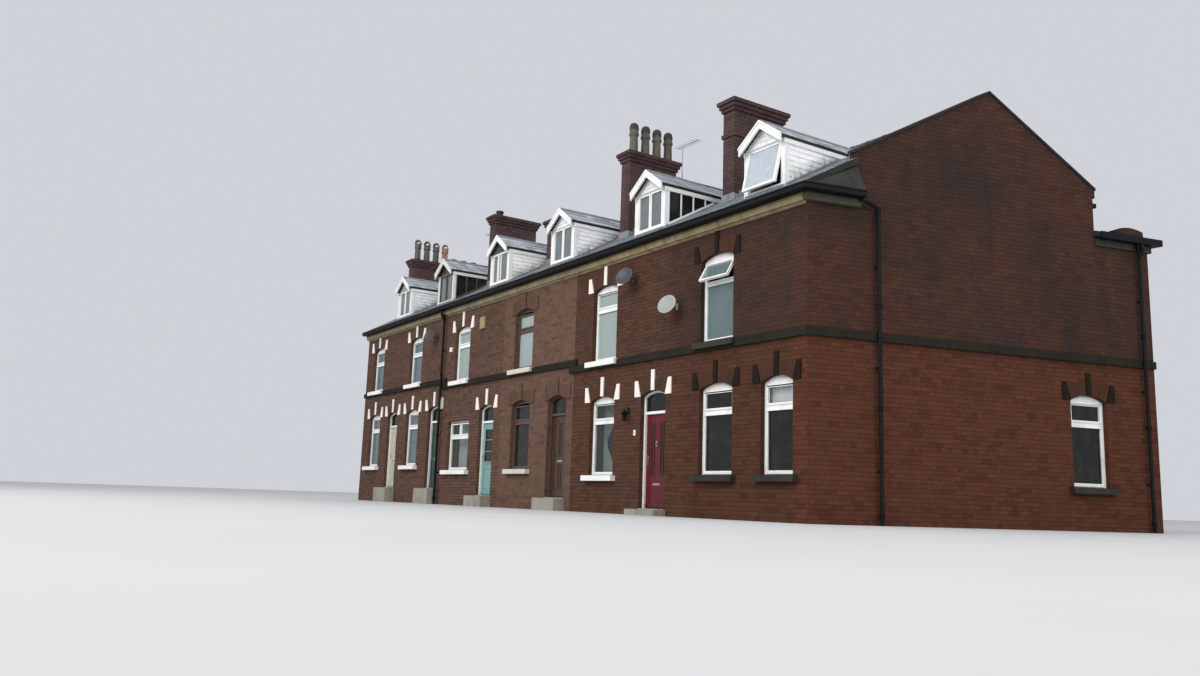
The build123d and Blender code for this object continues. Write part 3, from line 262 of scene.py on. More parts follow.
def wall_place(s):
    """Place along and up any upright wall, and across any level face."""
    facing = s.node("NewGeometry").outputs["True Normal"]
    across = s.node("VectorMath", {0: (0, 0, 1), 1: facing}, operation="CROSS_PRODUCT").outputs[0]
    along = s.node("VectorMath", {0: s.where, 1: across}, operation="DOT_PRODUCT").outputs["Value"]
    level = s.maths("POWER", s.parts(facing)[2], 2.0)
    u = s.plus(along, s.times(s.x, level))
    v = s.plus(s.times(s.z, s.less(1.0, level)), s.times(s.y, level))
    return s.node("CombineXYZ", {0: u, 1: v}).outputs[0]


def above_string(s):
    """1 over the string course and 0 under it, with its steps up along the row."""
    lift = s.times(s.plus(s.left_of(LINES[2]), s.left_of(LINES[4])), LIFTS[2])
    return s.times(s.less(s.less(s.z, lift), STRING_LOW), 12.0, True)


def brickwork(name, tones, soot_low, soot_high, mortar=(0.035, 0.028, 0.024)):
    """Old brick in courses, its colour set by house, with its own soot for each over the string course."""
    s = Shader(name, roughness=0.9, Specular_IOR_Level=0.08)
    sizes = {"Vector": wall_place(s), "Color1": (0, 0, 0), "Color2": (1, 1, 1), "Mortar": (0, 0, 0), "Scale": 1.0,
             "Mortar Size": JOINT, "Mortar Smooth": 0.25, "Brick Width": BRICK_LENGTH, "Row Height": BRICK_COURSE}
    bond = s.node("TexBrick", sizes, offset=0.5, offset_frequency=2, squash=0.5, squash_frequency=4)
    pick, joint = bond.outputs["Color"], bond.outputs["Fac"]
    body = s.shaded(s.by_house(*tones, first_blend=1.2), pick, (0.0, (0.72, 0.66, 0.68)), (0.25, (0.92, 0.9, 0.9)),
                    (0.55, (1.0, 1.0, 1.0)), (0.8, (1.12, 1.1, 1.06)), (1.0, (0.82, 0.74, 0.76)))
    body = s.shaded(body, s.noise(55.0, 4.0, 0.7), (0.25, 0.72), (0.75, 1.2))
    wash = s.rise(s.noise(0.55, 5.0, 0.62), 0.3, 0.72)
    streak = s.rise(s.noise(1.0, 4.0, 0.6, (2.6, 2.6, 0.35)), 0.42, 0.75)
    upper = s.by_house(*((amount,) * 3 for amount in soot_high), first_blend=1.4)
    soot = s.mix(above_string(s), (soot_low,) * 3, upper)
    cover = s.plus(s.times(wash, 0.42), s.times(streak, 0.2))
    dirt = s.times(s.plus(cover, 0.25), soot, True)
    body = s.mix(dirt, body, (0.02, 0.021, 0.022))
    joints = s.by_house(mortar, mortar, (0.15, 0.12, 0.1), mortar, mortar, mortar)
    joints = s.mix(s.times(dirt, 0.8), joints, (0.016, 0.016, 0.016))
    relief = s.plus(s.less(1.0, joint), s.times(s.noise(70.0, 4.0, 0.7), 0.35))
    return s.done(s.mix(joint, body, joints), relief, 0.006, s.ramp(s.noise(9.0), (0.3, 0.78), (0.8, 0.97)))


def plain_brick(name, tone, soot):
    return brickwork(name, (tone,) * len(FRONTAGES), soot, (soot,) * len(FRONTAGES))


def weathered(name, colours, dirt_colour, dirt, roughness=0.8, grain=40.0, relief=0.002, metallic=0.0, shine=0.4):
    """A surface that differs by house, with fine grain, blotches and streaks of dirt."""
    s = Shader(name, roughness=roughness, Metallic=metallic, Specular_IOR_Level=shine)
    fine = s.noise(grain, 4.0, 0.65)
    base = s.shaded(s.by_house(*colours), fine, (0.3, 0.86), (0.75, 1.08))
    blotch = s.rise(s.noise(1.9, 5.0, 0.65), 0.45, 0.8)
    streak = s.rise(s.noise(1.0, 4.0, 0.6, (14.0, 14.0, 0.9)), 0.5, 0.8)
    amount = s.times(s.plus(blotch, streak), dirt, True)
    rough = s.ramp(fine, (0.2, max(roughness - 0.12, 0.05)), (0.8, min(roughness + 0.1, 1.0)))
    return s.done(s.mix(amount, base, dirt_colour), fine, relief, rough)


def slate(name, sheen_gain):
    """Blue-grey slate, each one its own shade, with moss and pale run-off, lightened by a gain that paints the sky's
    sheen on wet slate.
    """
    s = Shader(name, roughness=0.45)
    # The shades are lighter than slate's own colour: partly its tone, partly a painted sheen of the sky on wet slate.
    shades = ((0.0, (0.15, 0.168, 0.19)), (0.45, (0.235, 0.262, 0.29)), (0.8, (0.31, 0.335, 0.36)),
              (1.0, (0.22, 0.215, 0.235)))
    tint = s.node("Attribute", attribute_name="tint").outputs["Fac"]
    shade = s.ramp(tint, *((place, tuple(part * sheen_gain for part in colour)) for place, colour in shades))
    grain = s.noise(1.0, 5.0, 0.7, (30.0, 30.0, 12.0))
    shade = s.shaded(shade, grain, (0.3, 0.75), (0.75, 1.25))
    moss = s.rise(s.noise(2.3, 6.0, 0.72), 0.56, 0.68)
    shade = s.mix(s.times(moss, 0.65), shade, (0.05, 0.062, 0.028))
    stain = s.rise(s.noise(0.8, 4.0, 0.6), 0.4, 0.75, 0.5)
    return s.done(s.mix(stain, shade, (0.075, 0.078, 0.08)), grain, 0.003, s.ramp(grain, (0.2, 0.3), (0.8, 0.6)))


def dish_paint():
    """Pale grey on the first dish and dark grey on the others."""
    s = Shader("dish_grey", roughness=0.5)
    fine = s.noise(40.0, 4.0, 0.65)
    base = s.mix(s.left_of(-4.4), (0.3, 0.3, 0.29), (0.035, 0.037, 0.04))
    return s.done(s.shaded(base, fine, (0.3, 0.8), (0.75, 1.1)))


def cornice_stone():
    """Painted cream along the front, green with damp round the corner and sooty along the wing."""
    s = Shader("stone_cornice", roughness=0.85, Specular_IOR_Level=0.3)
    back = s.maths("GREATER_THAN", s.y, CORNER.y + 2.0)
    side = s.mix(back, (0.065, 0.07, 0.042), (0.025, 0.024, 0.02))
    street = s.by_house((0.34, 0.26, 0.14), (0.37, 0.285, 0.15), *((0.33, 0.275, 0.17),) * 4)
    base = s.mix(s.left_of(0.0), side, street)
    fine = s.noise(30.0, 4.0, 0.65)
    base = s.shaded(base, fine, (0.3, 0.82), (0.75, 1.1))
    streak = s.rise(s.noise(1.0, 4.0, 0.6, (7.0, 7.0, 1.2)), 0.45, 0.78)
    blotch = s.rise(s.noise(1.6, 5.0, 0.65), 0.42, 0.8, 0.8)
    return s.done(s.mix(s.times(s.plus(streak, blotch), 0.6, True), base, (0.045, 0.045, 0.03)), fine, 0.003)


def boards(name, colours, moss=0.55, foot=False):
    """Painted or plastic boards with green grime, and with moss at the foot along the slope where it is asked for."""
    s = Shader(name, roughness=0.5)
    grime = s.rise(s.noise(3.4, 5.0, 0.7), 0.46, 0.74)
    fine = s.noise(1.0, 3.0, 0.6, (18.0, 9.0, 60.0))
    base = s.shaded(s.by_house(*colours), fine, (0.3, 0.88), (0.7, 1.06))
    base = s.mix(s.times(grime, moss), base, (0.15, 0.165, 0.13))
    if foot:
        plane = s.plus(s.times(s.less(s.y, CORNER.y), math.tan(FRONT_PITCH)), ROOF_AT_FRONT)
        near = s.less(1.0, s.maths("DIVIDE", s.less(s.z, plane), 0.3), True)
        patchy = s.rise(s.noise(9.0, 5.0, 0.7), 0.3, 0.62)
        base = s.mix(s.times(near, patchy), base, (0.045, 0.055, 0.03))
    return s.done(base, fine, 0.0015, s.ramp(fine, (0.2, 0.38), (0.8, 0.62)))


def glazing(name, tone, alpha):
    """Window glass with faint dust and slight waves, let through by its alpha."""
    s = Shader(name, roughness=0.04, Specular_IOR_Level=0.25, Alpha=alpha)
    # The tone is flat colour standing in for light: pale tones are a painted reflection of the sky, near-black ones
    # the painted shade of the room behind.
    dust = s.rise(s.noise(4.0, 5.0, 0.7), 0.5, 0.85)
    return s.done(s.mix(s.times(dust, 0.06), tone, (0.4, 0.42, 0.4)), s.noise(2.5, 1.0, 0.4), 0.0015,
                  s.ramp(dust, (0.0, 0.03), (1.0, 0.12)), 0.35)


def gloss_paint(name, colour, worn=(0.05, 0.04, 0.035)):
    s = Shader(name, roughness=0.36, Specular_IOR_Level=0.3, Coat_Weight=0.08, Coat_Roughness=0.15)
    wear = s.rise(s.noise(7.0, 6.0, 0.75), 0.62, 0.74)
    brushed = s.noise(1.0, 4.0, 0.6, (45.0, 45.0, 2.5))
    shade = s.shaded(colour, brushed, (0.3, 0.85), (0.7, 1.1))
    return s.done(s.mix(s.times(wear, 0.35), shade, worn), brushed, 0.0008, s.ramp(brushed, (0.2, 0.24), (0.8, 0.42)))


def cloth(name, colour):
    s = Shader(name, roughness=0.95, Sheen_Weight=0.15)
    threads = s.noise(60.0, 2.0, 0.5)
    shade = s.shaded(colour, s.noise(5.0, 3.0, 0.5), (0.3, 0.85), (0.7, 1.1))
    return s.done(s.mix(s.times(threads, 0.08), shade, (0.2, 0.2, 0.2)), threads, 0.0004)


BRICK_TONES = ((0.082, 0.033, 0.018), (0.092, 0.043, 0.026), (0.135, 0.075, 0.051), (0.124, 0.07, 0.049),
               (0.124, 0.07, 0.049), (0.118, 0.067, 0.048))
WHITE = (0.82, 0.82, 0.8)
PINKISH = (0.86, 0.77, 0.71)
STONE_DARK = (0.012, 0.0085, 0.005)
FRONT_BRICK = brickwork("brick_front", BRICK_TONES, 0.15, (1.0, 0.3, 0.15, 0.2, 0.2, 0.25))
SIDE_BRICK = brickwork("brick_side", ((0.1, 0.034, 0.0185),) * 6, 0.15, (1.1,) * 6)
REAR_BRICK = plain_brick("brick_rear", (0.1, 0.045, 0.029), 0.5)
STACK_BRICK = plain_brick("brick_stack", (0.112, 0.066, 0.064), 0.6)
INNER_BRICK = plain_brick("brick_inner", (0.12, 0.055, 0.04), 0.4)
ARCH_BRICK = weathered("brick_arch", [tuple(0.9 * part for part in tone) for tone in BRICK_TONES], (0.02, 0.02, 0.02),
                       0.5, 0.9, 60.0, shine=0.08)
MORTAR = weathered("mortar", [(0.05, 0.042, 0.035)], (0.016, 0.016, 0.016), 0.7, 0.95, 80.0, 0.003, shine=0.1)
STRING_STONE = weathered("stone_string", [(0.022, 0.0205, 0.015)], (0.009, 0.009, 0.0075), 0.7, 0.85, 30.0, 0.003,
                         shine=0.08)
CORNICE_STONE = cornice_stone()
COPING_STONE = weathered("stone_coping", [(0.032, 0.031, 0.029)], (0.012, 0.012, 0.01), 0.6, 0.85, 30.0, 0.003,
                         shine=0.08)
STEP_STONE = weathered("stone_step", [(0.3, 0.28, 0.23)], (0.06, 0.06, 0.05), 0.6, 0.8, 35.0, 0.003)
HEAD_PAINT = weathered("stone_heads", [STONE_DARK, PINKISH, (0.1, 0.055, 0.04), PINKISH, PINKISH, PINKISH],
                       (0.1, 0.085, 0.075), 0.06, 0.7, 35.0, shine=0.08)
SILL_PAINT = weathered("stone_sills", [(0.025, 0.024, 0.018), WHITE, (0.6, 0.57, 0.48), WHITE, WHITE, WHITE],
                       (0.08, 0.08, 0.065), 0.2, 0.65, 35.0, shine=0.2)
SLATE = slate("slate", 1.0)
# The dormer slates are a lit copy of the slate, 1.6 times lighter: a painted sheen of the sky on the wet slopes.
SHEEN_DORMER_SLATE = slate("slate_dormers_painted_sheen", 1.6)
ROOF_EDGE = weathered("roof_edge", [(0.035, 0.036, 0.034)], (0.018, 0.024, 0.01), 0.8, 0.9, 20.0, 0.003, shine=0.08)
RIDGE_CLAY = weathered("ridge_clay", [(0.085, 0.075, 0.075)], (0.03, 0.035, 0.025), 0.8, 0.8, 30.0, 0.003)
LEAD = weathered("lead", [(0.28, 0.29, 0.31)], (0.1, 0.105, 0.11), 0.6, 0.5, 25.0, 0.002, 0.3)
# The cover on the eaves return: very dark grey, far darker than the lead on the stacks and dormers, with green-black
# patches.
DARK_RETURN_COVER = weathered("return_cover_dark", [(0.04, 0.041, 0.04)], (0.018, 0.024, 0.009), 1.0, 0.85, 12.0, 0.004, shine=0.08)
POT_CLAY = weathered("pot_clay", [(0.11, 0.098, 0.075)], (0.035, 0.032, 0.028), 0.9, 0.75, 25.0, 0.002)
POT_BUFF = weathered("pot_buff", [(0.32, 0.17, 0.09)], (0.06, 0.045, 0.035), 0.5, 0.75, 25.0, 0.002)
POT_DARK = weathered("pot_dark", [(0.035, 0.033, 0.032)], (0.015, 0.015, 0.015), 0.6, 0.8, 25.0, 0.002)
DARK_CHEEK = (0.05, 0.05, 0.055)
WHITE_BOARDS = boards("boards_cheeks", [(0.94, 0.95, 0.95), DARK_CHEEK, (0.93, 0.94, 0.96), (0.95, 0.94, 0.9),
                                        DARK_CHEEK, (0.82, 0.83, 0.84)], 0.3, True)
WHITE_TRIM = boards("boards_trim", [WHITE, WHITE, WHITE, (0.8, 0.8, 0.77), (0.66, 0.66, 0.63), (0.8, 0.8, 0.8)], 0.2)
GABLE_BOARDS = boards("boards_gables", [(0.86, 0.87, 0.88), (0.72, 0.73, 0.74), (0.8, 0.81, 0.82), (0.06, 0.06, 0.06),
                                        (0.05, 0.045, 0.04), (0.4, 0.4, 0.4)])
JOINERY = boards("joinery", [WHITE, WHITE, (0.075, 0.04, 0.028), WHITE, WHITE, WHITE], 0.25)
DORMER_JOINERY = boards("joinery_dormers", [WHITE, WHITE, WHITE, WHITE, (0.07, 0.05, 0.04), WHITE], 0.2)
HEAD_PANEL = boards("head_panels", [(0.8, 0.78, 0.76), *(WHITE,) * 5], 0.25)
# Clear and ordinary glass: their tones are a faint painted reflection, over a fifth and two thirds of the pane.
CLEAR_GLASS = glazing("glass_clear", (0.1, 0.13, 0.12), 0.2)
# Pale glass: its tone is a painted reflection of the sky over three quarters of the pane.
SKY_REFLECTION_GLASS = glazing("glass_painted_sky_reflection", (0.35, 0.42, 0.4), 0.75)
GLASS = glazing("glass", (0.15, 0.21, 0.21), 0.65)
# Dark glass: a near-black, nearly opaque sheet that paints the shade of the room behind; also used for fanlights, door
# glass strips and dormer cheeks.
ROOM_SHADE_GLASS = glazing("glass_painted_room_shade", (0.012, 0.013, 0.011), 0.93)
# Dormer glass is opaque colour standing in for light: the pale blue on the first is a painted reflection of the sky,
# the dark grey on the others a faint painted reflection over the shade of the room behind.
DORMER_GLASS = weathered("glass_dormers", [(0.42, 0.47, 0.52), *((0.13, 0.15, 0.155),) * 5], (0.2, 0.22, 0.22), 0.15,
                         0.12, 6.0, 0.0006, shine=0.5)
BLACK = weathered("black_paint", [(0.006, 0.0065, 0.007)], (0.016, 0.017, 0.014), 0.3, 0.55, 25.0, 0.001, 0.0, 0.12)
FLOOR_BOARDS = weathered("floor_boards", [(0.2, 0.12, 0.07)], (0.06, 0.04, 0.03), 0.5, 0.6, 20.0)
CURTAIN = cloth("curtain", (0.3, 0.34, 0.31))
NET = cloth("net", (0.46, 0.52, 0.48))
BLIND = cloth("blind", (0.9, 0.92, 0.93))
CREAM_CURTAIN = cloth("curtain_cream", (0.42, 0.4, 0.35))
MAROON = gloss_paint("door_maroon", (0.1, 0.006, 0.01))
BROWN = gloss_paint("door_brown", (0.06, 0.03, 0.02))
TEAL = gloss_paint("door_teal", (0.16, 0.33, 0.31))
CREAM = gloss_paint("door_cream", (0.5, 0.47, 0.38))
GREEN = gloss_paint("door_green", (0.03, 0.07, 0.05))
BACK_PAINT = gloss_paint("back_door_paint", (0.2, 0.22, 0.22))
WHITE_PLASTIC = gloss_paint("white_plastic", (0.7, 0.7, 0.68))
YELLOW_PLASTIC = gloss_paint("alarm_plastic", (0.27, 0.22, 0.1))
CHROME = weathered("handle_metal", [(0.55, 0.53, 0.48)], (0.15, 0.14, 0.12), 0.5, 0.3, 60.0, 0.0005, 1.0)
DISH_GREY = dish_paint()
AERIAL_METAL = weathered("aerial_metal", [(0.42, 0.43, 0.44)], (0.15, 0.15, 0.15), 0.5, 0.4, 40.0, 0.0005, 0.8)


# Meshes

def added(name, data):
    """A new object in the scene."""
    piece = bpy.data.objects.new(name, data)
    bpy.context.scene.collection.objects.link(piece)
    return piece


class Shape:
    """A mesh made from blocks and outlines, each face with its own tint and material number."""

    def __init__(self):
        self.mesh = bmesh.new()
        self.tints = self.mesh.faces.layers.float.new("tint")

    def verts(self, points, place=STILL):
        return [self.mesh.verts.new(place @ Vector(point)) for point in points]

    def skin(self, verts, tint=0.5, material=0, smooth=False):
        made = self.mesh.faces.new(verts)
        made[self.tints] = tint
        made.material_index = material
        made.smooth = smooth

    def around(self, rings, tint=0.5, material=0, smooth=True):
        """Faces between one closed ring of vertices and the next."""
        for low, high in zip(rings, rings[1:]):
            for step in range(len(low)):
                after = (step + 1) % len(low)
                self.skin([low[step], low[after], high[after], high[step]], tint, material, smooth)

    def prism(self, points, reach, place=STILL, tint=0.5, material=0):
        """A flat outline carried along a vector."""
        near = self.verts(points, place)
        far = self.verts([Vector(point) + Vector(reach) for point in points], place)
        for ring in (near, far[::-1]):
            self.skin(ring, tint, material)
        self.around([far, near], tint, material, False)

    def outline(self, points, y0, y1, place=STILL, tint=0.5, material=0):
        """An outline of (x, z) points carried from y0 to y1."""
        self.prism([(x, y0, z) for x, z in points], (0, y1 - y0, 0), place, tint, material)

    def profile(self, points, x0, x1, place=ROW, tint=0.5, material=0):
        """An outline of (y, z) points carried from x0 to x1."""
        self.prism([(x0, y, z) for y, z in points], (x1 - x0, 0, 0), place, tint, material)

    def block(self, x, y, z, place=ROW, tint=0.5, material=0):
        self.outline([(x[0], z[0]), (x[1], z[0]), (x[1], z[1]), (x[0], z[1])], y[0], y[1], place, tint, material)

    def ring(self, x, z, width, y, place=STILL, material=0):
        """A frame of four mitred pieces, inside the rectangle x by z."""
        outer, inner = [[(x[0] + w, z[0] + w), (x[1] - w, z[0] + w), (x[1] - w, z[1] - w), (x[0] + w, z[1] - w)]
                        for w in (0, width)]
        for number in range(4):
            after = (number + 1) % 4
            self.outline([outer[number], outer[after], inner[after], inner[number]], y[0], y[1], place, 0.5, material)

    def lathe(self, profile, place=STILL, steps=24, material=0):
        """A profile of (radius, height) turned about the upright axis."""
        rings = [[(radius * cos, radius * sin, height) for cos, sin in turns(2 * math.pi, steps)[:-1]]
                 for radius, height in profile]
        self.around([self.verts(ring, place) for ring in rings], 0.5, material)

    def tube(self, points, radius, place=STILL, steps=10, material=0):
        """A round bar along a line of points."""
        points = [place @ Vector(point) for point in points]
        rings = []
        for number, point in enumerate(points):
            turn = (points[min(number + 1, len(points) - 1)] - points[max(number - 1, 0)]).to_track_quat("Z", "Y")
            rings.append(self.verts([point + turn @ Vector((radius * cos, radius * sin, 0))
                                     for cos, sin in turns(2 * math.pi, steps)[:-1]]))
        self.around(rings, 0.5, material)
        for end in (rings[0][::-1], rings[-1]):
            self.skin(end, 0.5, material)

    def made(self, name, materials):
        """The mesh as an object in the scene."""
        data = bpy.data.meshes.new(name)
        self.mesh.to_mesh(data)
        self.mesh.free()
        for material in materials:
            data.materials.append(material)
        return added(name, data)

    def done(self, name, materials, slot, body="building", bevel=0.0, replaces=None):
        bmesh.ops.recalc_face_normals(self.mesh, faces=self.mesh.faces)
        piece = self.made(name, materials)
        if bevel:
            rounding = piece.modifiers.new("edges", "BEVEL")
            rounding.width = bevel
            rounding.segments = 2
            rounding.limit_method = "ANGLE"
        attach(piece, body)
        if replaces:
            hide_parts(replaces)


def arc(half, spring, rise, steps=12):
    """Points of a low arch from its left springing to its right one."""
    radius = (half * half + rise * rise) / (2 * rise)
    middle = spring + rise - radius
    across = [-half + 2 * half * step / steps for step in range(steps + 1)]
    return [(x, middle + math.sqrt(radius * radius - x * x)) for x in across]


# Openings

Opening = namedtuple("Opening", "name place width bottom spring rise house")


def front_windows():
    found = []
    for house, offset in enumerate(WINDOWS_IN):
        place, up = front_at(LINES[house] - offset), LIFTS[house]
        found.append(Opening(f"upper_{house + 1}", place, WINDOW_WIDTH, UPPER_SILL + up, UPPER_SPRINGS[house],
                             ARCH_RISE, house))
        width, spring, rise = (WIDE_WIDTH, FLAT_SPRING, 0) if house == 3 else (WINDOW_WIDTH, GROUND_SPRING, ARCH_RISE)
        found.append(Opening(f"ground_{house + 1}", place, width, GROUND_SILL + up, spring + up, rise, house))
    found.append(Opening("corner", front_at(-0.735), 0.81, GROUND_SILL, GROUND_SPRING, ARCH_RISE, 0))
    found.append(Opening("side", side_at(6.205), 0.89, GROUND_SILL, GROUND_SPRING, ARCH_RISE, 0))
    return found


def rear_windows():
    rows = []
    for house, up in enumerate(LIFTS):
        place = rear_at(LINES[house // 2 * 2 + 1] + (-REAR_IN if house % 2 else REAR_IN))
        rows.append(("rear_ground", place, GROUND_SILL + up, GROUND_SPRING + up, house))
        rows.append(("rear_upper", place, UPPER_SILL + up, UPPER_SPRINGS[house], house))
    for x, house in wing_rooms():
        rows.append(("wing_upper", rear_at(x, WING_BACK), UPPER_SILL + LIFTS[house], UPPER_SPRINGS[house], house))
    return [Opening(f"{kind}_{house + 1}", place, REAR_WIDTH, bottom, spring, ARCH_RISE, house)
            for kind, place, bottom, spring, house in rows]


def wing_rooms():
    """The middle of each wing room at the back wall, and its house."""
    in_pair = (PARTY_HALF + WING_WIDTH) / 2
    pairs = ((2, 1, 1), (2, -1, 2), (4, 1, 3), (4, -1, 4))
    found = [(LINES[line] + side * in_pair, house) for line, side, house in pairs]
    corner_right = (-WALL + WING_BACK * math.sin(SKEW)) / math.cos(SKEW)
    return found + [(LEFT_END + (WING_WALL + WING_WIDTH) / 2, 5), ((WING_WALL - CORNER_WING + corner_right) / 2, 0)]


def doors():
    return [(house, front_at(LINES[house] - offset), LIFTS[house]) for house, offset in enumerate(DOORS_IN) if offset]


def brick_arches():
    """Soldier bricks between the side stones and the key stone over each arched opening."""
    shape, count, key, gap = Shape(), 5, 0.07, 0.006
    heads = [window for window in front_windows() if window.rise]
    heads += [Opening("door", place, DOOR_WIDTH, 0, GROUND_SPRING + up, ARCH_RISE, house) for house, place, up in doors()]
    for _, place, width, _, spring, rise, _ in heads:
        half, top = width / 2, min(spring + HEAD_STONE, CORNICE_LOW)
        wide = half + 0.1
        shape.outline(arc(half, spring, rise, 40) + [(wide, top), (-wide, top)], -0.002, 0.02, place, 0.5, 1)
        for side in (-1, 1):
            for number in range(count):
                shares = [key / half + (1 - key / half) * (number + step) / count + (gap - 2 * gap * step) / half
                          for step in (0, 1)]
                near, far = [(Vector((side * half * t, spring + rise * (1 - t * t))), Vector((side * wide * t, top)))
                             for t in shares]
                split = 0.62 if number % 2 else 0.36
                for a, b in ((0.0, split - 0.015), (split + 0.015, 1.0)):
                    quad = [near[0].lerp(near[1], a), far[0].lerp(far[1], a), far[0].lerp(far[1], b),
                            near[0].lerp(near[1], b)]
                    shape.outline(quad, -0.007, 0.01, place, RANDOM.random())
    shape.done("brick_arches", [ARCH_BRICK, MORTAR], "brickwork", bevel=0.0015)


# Which glass each window has: 0 clear, 1 half dark with a faint painted reflection, 2 dark, a painted shade of the
# room behind, and 3 pale, a painted reflection of the sky
PANES = {"upper_2": 3, "upper_3": 3, "upper_4": 3, "corner": 0, "ground_2": 0, "ground_4": 0, "ground_1": 2,
         "ground_3": 2, "side": 2}


def window_details():
    """Sashes, head panels and glass in every window."""
    sashes, panels, glass = Shape(), Shape(), Shape()
    front = REVEAL - 0.012
    for name, place, width, bottom, spring, rise, house in front_windows() + rear_windows():
        half = width / 2 - FRAME_WIDTH
        bar = spring - TOP_LIGHT
        head = spring - (FRAME_WIDTH / 2 if rise else FRAME_WIDTH)
        if rise and (house != 2 or name.startswith(("rear", "wing"))):
            head, foot, rim = spring - 0.05, spring - 0.055, arc(half + 0.035, spring - 0.02, ARCH_RISE - 0.006)
            panel = [(-half - 0.035, foot), *rim, (half + 0.035, foot)]
            panels.outline(panel, REVEAL - 0.004, REVEAL + 0.02, place)
            bead = rim[::-1] + arc(half + 0.02, spring - 0.03, ARCH_RISE - 0.028)
            panels.outline(bead, REVEAL - 0.014, REVEAL, place)
            panels.block(band(0, half + 0.03), (front - 0.008, REVEAL + 0.03), (spring - 0.078, spring - 0.048), place)
        top = (bar + 0.025, head)
        lights = [(band(0, half), (bottom + FRAME_WIDTH, bar - 0.025), 0.022, front + 0.006)]
        if rise:
            lights.append((band(0, half), top, 0.036, front - 0.008))
        else:
            lights += [(x, top, 0.034, front - 0.008) for x in ((-half, -0.02), (0.02, half))]
            sashes.block(band(0, 0.025), (REVEAL, REVEAL + FRAME_DEPTH), (bar, head + 0.03), place)
        sashes.block(band(0, half), (front - 0.004, REVEAL + 0.02), (bar - 0.075, bar - 0.045), place)
        sashes.block(band(0, half + 0.01), (front - 0.012, REVEAL + 0.02), (bottom + 0.02, bottom + 0.075), place)
        for x, z, thick, y in lights:
            stand, pane = place, PANES.get(name, 1)
            if name == "upper_1" and z[0] > bar:
                hinge = moved(0, front, z[1])
                stand = place @ (hinge @ Matrix.Rotation(LIGHT_OPEN, 4, "X") @ hinge.inverted())
                z = (z[0] - 0.055, z[1])
            elif name == "corner" and z[0] < bar:
                # The corner window's lower lights take the dark glass: painted shade of the room under the blind.
                pane = 2
            sashes.ring(x, z, thick, (y, REVEAL + 0.035), stand)
            edge = thick - 0.006
            x, z = (x[0] + edge, x[1] - edge), (z[0] + edge, z[1] - edge)
            glass.block(x, (REVEAL + 0.024, REVEAL + 0.032), z, stand, 0.5, pane)
    sashes.done("window_sashes", [JOINERY], "white_joinery", bevel=0.003)
    panels.done("window_head_panels", [HEAD_PANEL], "white_joinery", bevel=0.0025)
    glass.done("window_panes", [CLEAR_GLASS, GLASS, ROOM_SHADE_GLASS, SKY_REFLECTION_GLASS], "window_glass", replaces="window_glass")


def curtain(name, window, x, z, depth, folds, swell, material, tie=None, rows=14):
    """A pleated curtain behind a window. A tie draws it in at a height, as a share of its width."""
    steps, high = folds * 8, z[1] - z[0]
    points, faces = [], []
    for row in range(rows + 1):
        height = z[1] - high * row / rows
        pull = (1 - tie) * math.exp(-((height - z[0] - 0.42 * high) / 0.3) ** 2) if tie else 0.0
        for step in range(steps + 1):
            t = step / steps
            sway = math.sin(2 * math.pi * folds * t + 0.4 * math.sin(3 * height)) * (0.7 + 0.3 * row / rows)
            points.append(window.place @ Vector((x[0] + (x[1] - x[0]) * t * (1 - pull), depth + swell * sway, height)))
    for row in range(rows):
        for a in range(row * (steps + 1), row * (steps + 1) + steps):
            faces.append((a, a + 1, a + steps + 2, a + steps + 1))
    data = bpy.data.meshes.new(name)
    data.from_pydata(points, [], faces)
    data.materials.append(material)
    for face in data.polygons:
        face.use_smooth = True
    piece = added(name, data)
    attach(piece, "building")


def curtains():
    by_name = {window.name: window for window in front_windows()}
    rails = Shape()
    for window in by_name.values():
        reach, top = window.width / 2 + 0.08, window.spring + 0.03
        rails.tube([(x, CURTAIN_DEPTH, top) for x in band(0, reach)], 0.012, window.place)
        for x in band(0, window.width / 2):
            rails.block(band(x, 0.01), (WALL, 0.38), band(top, 0.012), window.place)
    rails.done("curtain_rails", [WHITE_PLASTIC], "white_joinery")
    whole = (-0.44, 0.44)
    ways = {"upper_1": (CURTAIN, (-0.44, -0.2)), "upper_2": (NET, whole),
            "ground_2": (CURTAIN, (-0.44, -0.03), (0.44, 0.03)),
            "ground_1": (CURTAIN, (-0.44, -0.3), (0.44, 0.28)), "upper_3": (NET, whole), "upper_4": (NET, whole),
            "ground_4": (NET, (-0.62, 0.62)), "upper_5": (CREAM_CURTAIN, whole), "ground_5": (NET, whole),
            "upper_6": (NET, whole), "ground_6": (CREAM_CURTAIN, (-0.44, -0.1), (0.44, 0.12)),
            "side": (NET, (-0.42, 0.42))}
    for name, (material, *parts) in ways.items():
        window = by_name[name]
        for number, x in enumerate(parts):
            folds = max(3, round(abs(x[1] - x[0]) / 0.09))
            curtain(f"curtain_{name}_{number + 1}", window, x, (window.bottom + 0.06, window.spring + 0.02),
                    CURTAIN_DEPTH, folds, 0.02, material, 0.35 if name == "ground_2" else None)
    corner, wide = by_name["corner"], (-0.36, 0.36)
    low = corner.spring - TOP_LIGHT - 0.09
    curtain("roller_blind", corner, wide, (low, corner.spring + 0.02), BLIND_DEPTH, 2, 0.002, BLIND)
    hem = Shape()
    hem.block(wide, (0.2, 0.22), (low - 0.03, low + 0.012), corner.place)
    hem.done("blind_hem_bar", [WHITE_PLASTIC], "white_joinery", bevel=0.004)


